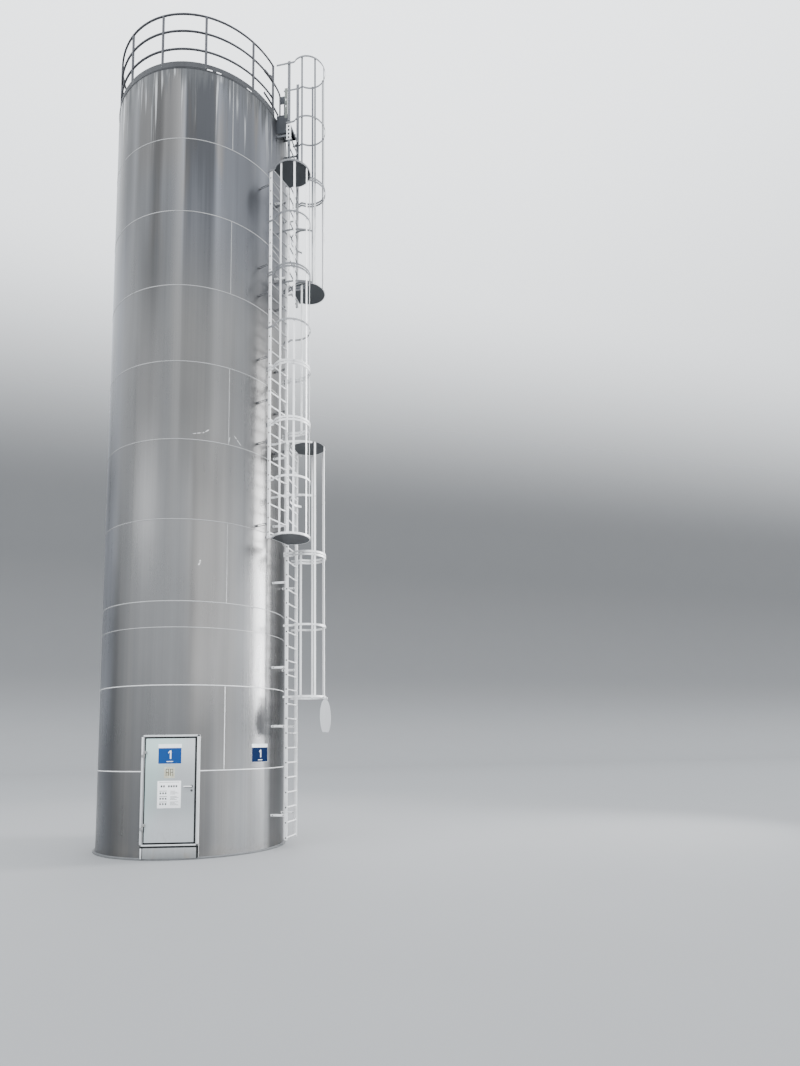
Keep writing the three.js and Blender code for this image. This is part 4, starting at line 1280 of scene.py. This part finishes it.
def makeFrame():
    side, low, high = door["frameHalf"], door["frameBottom"], door["frameTop"]
    front, back, bar = -door["frameFront"], -door["frameBack"], door["bar"]
    lip = door["lip"]
    sillLow, sillHigh = door["sill"]
    bm = bmesh.new()
    addBox(bm, (-side, front, high - lip), (side, back, high), 0.003)
    addBox(bm, (-side, front, sillLow), (side, back, sillHigh), 0.003)
    for x in (-side, side - lip):
        addBox(bm, (x, front, sillLow), (x + lip, back, high), 0.003)
    stopFront = -door["stopFront"]
    hole = side - bar
    addBox(bm, (-hole, stopFront, high - bar - 0.012), (hole, back, high - bar + 0.007))
    addBox(bm, (-hole, stopFront, low + bar - 0.006), (hole, back, low + bar + 0.010))
    for x in (-hole, hole - door["stop"]):
        addBox(bm, (x, stopFront, low + bar), (x + door["stop"], back, high - bar))
    newPiece("door_frame_bars", bm, "frame", "shell_metal", ["door_frame"])

    # the rebate between the lip and the leaf: in shade, and less so on the hinge side
    inner, sillIn, lipIn, wing = front + door["rebate"], sillHigh - 0.002, high - lip + 0.002, hole + 0.004
    boxPiece("frame_rebate", [
        ((-hole, inner, high - bar), (wing, back, lipIn)), ((-hole, inner, sillIn), (wing, back, low + bar)),
        ((hole, inner, sillIn), (side - lip + 0.002, back, lipIn)),
    ], 0, "seal", "dark_metal")
    boxes = [((-side + lip - 0.002, inner, sillIn), (-hole, back, lipIn))]
    boxPiece("frame_rebate_hinge_side", boxes, 0, "plinth", "dark_metal")

    # the plinth in two panels, each bent back at its end, with dark joints round them; the joints and the
    # line under the sill are set-back dark blocks, a painted shade of the gaps
    face, behind, thick = -door["plinthFront"], -door["plinthBack"], door["plinthThick"]
    bottom, top = door["plinthBottom"], door["panelTop"]
    side = door["plinthHalf"]
    left, right = door["panelLeft"], side - door["joint"]
    edge = left - door["leftJoint"]
    boxPiece("plinth_panel", [
        ((left, face, bottom), (right, face + thick, top)),
        ((right - thick, face + thick / 2, bottom), (right, behind, top)),
    ], 0.002, "plinth", "shell_metal")
    boxPiece("plinth_edge", [
        ((-side, face, bottom), (edge, face + thick, top)),
        ((-side, face + thick / 2, bottom), (-side + thick, behind, top)),
    ], 0.002, "frame", "shell_metal")
    boxPiece("plinth_joints", [
        ((edge - 0.001, face + 0.010, bottom), (left + 0.001, behind, top)),
        ((right - 0.001, face + 0.010, bottom), (side, behind, top)),
        ((-side, face + 0.004, top - 0.001), (side, behind, sillLow + 0.001)),
    ], 0, "seal", "dark_metal")

    # weld beads beside the frame
    bm = bmesh.new()
    for x in (-door["frameHalf"] - 0.001, door["frameHalf"] + 0.001):
        wall = math.sqrt(shell["radius"] ** 2 - x ** 2)
        addRod(bm, (x, -wall, bottom), (x, -wall, high - 0.002), 0.0045, 8)
    newPiece("frame_beads", bm, "bead", "shell_metal")


def makeLeaf():
    inset = door["seal"]
    half, low, high = door["leafHalf"], door["leafBottom"], door["leafTop"]
    front, back = -door["leafFront"], -door["leafBack"]
    bm = bmesh.new()
    addBox(bm, (-half + inset, front, low + inset), (half - inset, back, high - inset), 0.004, None, 3)
    newPiece("door_leaf_sheet", bm, "door", "door_paint", ["door_leaf"], 0, "door")
    # dark seal round the leaf: partly a gasket, partly the painted shadow of the gap
    bm = bmesh.new()
    sealFront = -door["sealFront"]
    seal = inset + 0.003
    reach = door["sealReach"]
    for x0, x1 in ((-half - reach, -half + seal), (half - seal, half + reach)):
        addBox(bm, (x0, sealFront, low - reach), (x1, back + 0.004, high + reach), 0.002)
    for z0, z1 in ((low - reach, low + seal), (high - seal, high + reach)):
        addBox(bm, (-half, sealFront, z0), (half, back + 0.004, z1), 0.002)
    newPiece("door_seal", bm, "seal", "dark_metal", (), 0, "door")


hinge = {
    "x": -0.435, "y": -1.775, "radius": 0.010, "length": 0.060, "heights": (0.560, 1.800), "gap": 0.0005,
    "frameFace": -1.7623, "leafFace": -1.746,
}


def makeHinges():
    x, y, radius, length = hinge["x"], hinge["y"], hinge["radius"], hinge["length"]
    for number, height in enumerate(hinge["heights"], 1):
        bm = bmesh.new()
        addRod(bm, (x, y, height - length), (x, y, height), radius, 24, None, 0.0012)
        low = (x - 0.050, y - 0.004, height - length + 0.006)
        addBox(bm, low, (x - 0.003, hinge["frameFace"], height - 0.006), 0.0015)
        for dx in (-0.040, -0.022):
            for dz in (-length + 0.016, -0.016):
                addBolt(bm, (x + dx, y - 0.004, height + dz), (0, -1, 0), 0.004, 0.0025, 8)
        newPiece(f"frame_hinge_{number}", bm, "plinth", "shell_metal", [f"door_hinge_{number}"])
    bm = bmesh.new()
    for height in hinge["heights"]:
        addRod(bm, (x, y, height + hinge["gap"]), (x, y, height + length), radius, 24, None, 0.0012)
        high = (x + 0.034, hinge["leafFace"], height + length - 0.006)
        addBox(bm, (x + 0.004, y - 0.004, height + 0.008), high, 0.0015)
    newPiece("leaf_hinges", bm, "plinth", "shell_metal", (), 0, "door")


lever = {
    "x": 0.372, "z": 1.240, "rose": 0.026, "roseFront": 1.754, "front": 1.808, "back": 1.794,
    "reach": 0.128, "half": 0.010, "spindle": 0.0095, "keyZ": 1.169, "keyRose": 0.021, "keyhole": 0.0055,
}


def makeLever():
    x, z, face = lever["x"], lever["z"], -door["leafFront"]
    rose, roseFront = lever["rose"], -lever["roseFront"]
    front, back, half, reach = -lever["front"], -lever["back"], lever["half"], lever["reach"]
    # the dark rose is partly its own colour and partly the painted shadow round the arm
    bm = bmesh.new()
    addRod(bm, (x, face - 0.0003, z), (x, roseFront, z), rose, 36, rose - 0.002)
    newPiece("lever_rose_disc", bm, "bracket", "dark_metal", ["lever_rose"], 0, "door")
    bm = bmesh.new()
    addRod(bm, (x, roseFront - 0.0006, z), (x, back - 0.002, z), lever["spindle"], 20)
    addBox(bm, (x - reach, front, z - half), (x + half, back, z + half), 0.0045, None, 4)
    newPiece("lever_arm", bm, "lever", "lever_metal", ["door_lever"], 0, "lever")
    # painted shadow: a dark strip along the underside of the grip
    bm = bmesh.new()
    addBox(bm, (x - reach + 0.006, front + 0.001, z - half - 0.006), (x, back, z - half + 0.003))
    newPiece("lever_painted_shadow", bm, "hole", "lever_metal", (), 0, "lever")
    bm = bmesh.new()
    key, keyRose, keyhole = lever["keyZ"], lever["keyRose"], lever["keyhole"]
    addRod(bm, (x, face - 0.0003, key), (x, face - 0.004, key), keyRose, 30, keyRose - 0.002)
    newPiece("key_rose", bm, "bracket", "dark_metal", (), 0, "door")
    bm = bmesh.new()
    near, far = face - 0.0035, face - 0.0045
    addRod(bm, (x, near, key + 0.004), (x, far, key + 0.004), keyhole, 16)
    addBox(bm, (x - 0.0022, far, key - 0.012), (x + 0.0022, near, key + 0.004))
    newPiece("key_slot", bm, "hole", "dark_metal", (), 0, "door")


makeFrame()
makeLeaf()
makeHinges()
makeLever()
print("door made")


# Signs

sign = {
    "shift": -0.008, "header": 0.2, "plate": 0.0022, "off": 0.0003,
    "door": {"width": 0.400, "height": 0.342, "z": 1.800},
    "wall": {"width": 0.420, "height": 0.335, "z": 1.790, "azimuth": 55},
    "notice": {"width": 0.400, "height": 0.465, "z": 1.106},
    "label": {
        "width": 0.180, "height": 0.190, "z": 1.481, "x": -0.010,
        "frames": (-0.062, 0.012), "frameWide": 0.052, "frameHalf": 0.062, "bar": 0.011,
    },
}


def addNumeral(bm, x, z, height, y, thick):
    # a plain figure one: a stem with a flag
    stem = height * 0.16
    outline = [
        (stem / 2, -height / 2), (stem / 2, height / 2), (-stem / 4, height / 2), (-stem * 1.7, height * 0.3),
        (-stem * 1.7, height * 0.14), (-stem / 2, height * 0.3), (-stem / 2, -height / 2),
    ]
    face = flatFace(bm, [(x + dx, y, z + dz) for dx, dz in outline])
    sweepStraight(bm, face, (0, -thick, 0))


def signParts(size, front):
    # white plate, blue field, and a figure with a bar under it
    width, height, z = size["width"], size["height"], size["z"]
    left, right = -width / 2, width / 2
    low, high = z - height / 2, z + height / 2
    split = high - height * sign["header"]
    plate, field, figure = bmesh.new(), bmesh.new(), bmesh.new()
    addBox(plate, (left, -front - sign["plate"], low), (right, -front, high), 0.0008)
    addBox(field, (left + 0.003, -front - 0.0026, low + 0.003), (right - 0.003, -front - 0.002, split), 0)
    middle = (low + split) / 2
    addNumeral(figure, 0.012, middle + 0.022, height * 0.42, -front - 0.0024, 0.0005)
    addBox(figure, (-0.055, -front - 0.0029, low + 0.034), (0.055, -front - 0.0024, low + 0.046))
    return plate, field, figure


def wrapToWall(bm, front):
    # bends a flat plate round the tank's axis, keeping its width along the wall
    edges = [edge for edge in bm.edges if abs(edge.verts[0].co.x - edge.verts[1].co.x) > 0.05]
    if edges:
        bmesh.ops.subdivide_edges(bm, edges=edges, cuts=11, use_grid_fill=True)
    for vert in bm.verts:
        angle = vert.co.x / front
        radius = -vert.co.y
        vert.co.x = radius * math.sin(angle)
        vert.co.y = -radius * math.cos(angle)


def makeSigns():
    front = door["leafFront"] + sign["off"]
    names = (("plate", "enamelWhite"), ("field", "enamelBlue"), ("figure", "enamelWhite"))
    for (part, look), bm in zip(names, signParts(sign["door"], front)):
        bmesh.ops.translate(bm, verts=bm.verts, vec=(sign["shift"], 0, 0))
        stands = ["door_sign"] if part == "plate" else ()
        newPiece(f"door_sign_{part}", bm, look, "sign_enamel", stands, 0, "door")
    names = (("plate", "enamelWhite"), ("field", "enamelNavy"), ("figure", "enamelWhite"))
    front = shell["radius"] + sign["plate"]
    for (part, look), bm in zip(names, signParts(sign["wall"], front)):
        wrapToWall(bm, front)
        stands = ["wall_sign"] if part == "plate" else ()
        newPiece(f"wall_sign_{part}", bm, look, "sign_enamel", stands, sign["wall"]["azimuth"])


def makeNotice():
    size = sign["notice"]
    front = -door["leafFront"] - sign["off"]
    left, right = sign["shift"] - size["width"] / 2, sign["shift"] + size["width"] / 2
    low, high = size["z"] - size["height"] / 2, size["z"] + size["height"] / 2
    bm = bmesh.new()
    addBox(bm, (left, front - 0.0018, low), (right, front, high), 0.0006)
    newPiece("notice_sheet_panel", bm, "paper", "notice_plastic", ["notice_sheet"], 0, "door")
    # a bar and small blocks at the head, then three rows of blocks and bars
    bm = bmesh.new()
    face = front - 0.0018

    def block(x0, x1, z0, z1):
        # counted from the sheet's left edge and down from its top
        addBox(bm, (left + x0, face - 0.0002, high - z1), (left + x1, face + 0.0006, high - z0))

    block(0.03, 0.37, 0.020, 0.026)
    for column in range(7):
        if column != 2:
            block(0.055 + 0.042 * column, 0.083 + 0.042 * column, 0.075, 0.110)
    for row in range(3):
        top = 0.17 + 0.092 * row
        block(0.035, 0.165, top, top + 0.008)
        for column in range(3):
            block(0.04 + 0.045 * column, 0.066 + 0.045 * column, top + 0.026, top + 0.056)
        for line in range(4):
            at = top + 0.003 + 0.017 * line
            block(0.22, 0.30 + 0.03 * ((line + row) % 3), at, at + 0.006)
    newPiece("notice_blocks", bm, "print", "notice_plastic", (), 0, "door")


def makeLabel():
    size = sign["label"]
    x, z = size["x"], size["z"]
    front = -door["leafFront"] - sign["off"]
    half, tall = size["width"] / 2, size["height"] / 2
    bm = bmesh.new()
    addBox(bm, (x - half, front - 0.0006, z - tall), (x + half, front, z + tall))
    newPiece("faded_label", bm, "label", "notice_plastic", (), 0, "door")
    bm = bmesh.new()
    face = front - 0.0006
    wide, bar = size["frameWide"], size["bar"]
    low, high = z - size["frameHalf"], z + size["frameHalf"]
    for left in (x + shift for shift in size["frames"]):
        for x0, x1, z0, z1 in (
            (left, left + bar, low, high), (left + wide - bar, left + wide, low, high),
            (left, left + wide, high - bar, high), (left, left + wide, z - bar / 2, z + bar / 2),
        ):
            addBox(bm, (x0, face - 0.0003, z0), (x1, face + 0.0003, z1))
    newPiece("label_print", bm, "labelPrint", "notice_plastic", (), 0, "door")


makeSigns()
makeNotice()
makeLabel()
print("signs made")

# The discharge cone keeps its own solid and takes the roof's metal
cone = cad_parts["discharge_cone"]
cone.data.materials.clear()
cone.data.materials.append(finishes["roof"])


# Camera, floor and light

camera = {
    "focal": 689.836, "imageHeight": 1066, "centreRow": 669.7283, "sensor": 36,
    "distance": 14.3847, "azimuth": 13.1, "height": 1.927, "yaw": 16.58, "pitch": 6.108, "roll": -0.745,
}


def makeCamera():
    data = bpy.data.cameras.new("photoCamera")
    data.sensor_width = camera["sensor"]
    data.lens = camera["focal"] * camera["sensor"] / camera["imageHeight"]
    data.shift_y = (camera["centreRow"] - camera["imageHeight"] / 2) / camera["imageHeight"]
    data.clip_end = 400
    seen = bpy.data.objects.new("photoCamera", data)
    bpy.context.scene.collection.objects.link(seen)
    spot = turned(camera["azimuth"]) @ Vector((0, -camera["distance"], camera["height"]))
    aim = (
        turned(camera["azimuth"] - camera["yaw"])
        @ Matrix.Rotation(math.radians(90 + camera["pitch"]), 4, "X")
        @ turned(camera["roll"])
    )
    seen.matrix_world = tankPlace @ Matrix.Translation(spot) @ aim
    bpy.context.scene.camera = seen


stage = {
    # the cove runs from behind the camera to a wall behind the tank: near end, start of
    # the curve, curve radius, top, half width
    "cove": (-110, 40, 22, 74, 170), "coveTone": (0.23, 0.234, 0.24),
    # it darkens over the first heights, by the third value, and thins out over the others
    "coveShade": (0.0, 10, 0.42), "coveFade": (28, 60),
    "sky": (0.93, 0.965, 1.0), "skyLow": 1.6, "skyHigh": 3.4, "skyFront": 0.4,
    "spread": 110,
    # each light: azimuth, distance, height, width, tall, power, and the height it looks at
    "lights": {
        "stripRight": (96, 13.5, 9.0, 4.0, 13.5, 1600, 6.0),
        "keyLeft": (-52, 18, 15, 9, 9, 320, 8.0),
        "fillFront": (22, 22, 9, 10, 10, 500, 6.0),
        "backSoft": (190, 18, 14, 12, 12, 900, 8.0),
    },
}


def makeStage():
    near, bend, radius, top, half = stage["cove"]
    outline = [(near, 0)]
    for step in range(25):
        angle = math.radians(90 / 24 * step)
        outline.append((bend + radius * math.sin(angle), radius - radius * math.cos(angle)))
    outline.append((bend + radius, top))
    bm = bmesh.new()
    rows = [[bm.verts.new((x, away, height)) for x in (-half, half)] for away, height in outline]
    for (a, b), (c, d) in zip(rows, rows[1:]):
        bm.faces.new((a, b, d, c))
    bm.transform(tankPlace @ turned(camera["azimuth"]))
    mesh = bpy.data.meshes.new("studioFloor")
    bm.to_mesh(mesh)
    bm.free()
    mesh.shade_smooth()
    floor = bpy.data.objects.new("studioFloor", mesh)
    bpy.context.scene.collection.objects.link(floor)
    finish, shader, place = newFinish("floorPale", 0.0, 0.8)
    speckle = grain(stretched(place, 0.6, 0.6), 3)
    height = heightOf(place)
    shadeLow, shadeHigh, shadeAmount = stage["coveShade"]
    tone = (0.98 + 0.04 * speckle) * (1 - shadeAmount * rise(height, shadeLow, shadeHigh))
    feed(shader, "Base Color", scaled(stage["coveTone"], tone))
    feed(shader, "Alpha", 1 - rise(height, *stage["coveFade"]))
    mesh.materials.append(finish)

    world = bpy.data.worlds.new("paleSky")
    bpy.context.scene.world = world
    world.use_nodes = True
    background = world.node_tree.nodes["Background"]
    background.inputs["Color"].default_value = (*stage["sky"], 1)
    direction = Shade(world.node_tree).node("ShaderNodeTexCoord", output="Generated")
    forward = direction.node("ShaderNodeSeparateXYZ", None, {0: direction}, 1) * -1
    overhead = rise(heightOf(direction), 0.3, 0.95)
    low, high, front = stage["skyLow"], stage["skyHigh"], stage["skyFront"]
    strength = (low + (high - low) * overhead) * (1 + front * rise(forward, -0.4, 0.9))
    world.node_tree.links.new(strength.socket, background.inputs["Strength"])

    for name, (azimuth, distance, height, width, tall, power, aimHeight) in stage["lights"].items():
        data = bpy.data.lights.new(name, "AREA")
        data.shape = "RECTANGLE"
        data.size = width
        data.size_y = tall
        data.energy = power
        data.spread = math.radians(stage["spread"])
        lamp = bpy.data.objects.new(name, data)
        bpy.context.scene.collection.objects.link(lamp)
        spot = tankPlace @ turned(azimuth) @ Vector((0, -distance, height))
        target = tankPlace @ Vector((0, 0, aimHeight))
        turn = (target - spot).to_track_quat("-Z", "Y").to_matrix().to_4x4()
        lamp.matrix_world = Matrix.Translation(spot) @ turn
        lamp.visible_camera = False


makeCamera()
makeStage()
print("camera, floor and lights made")
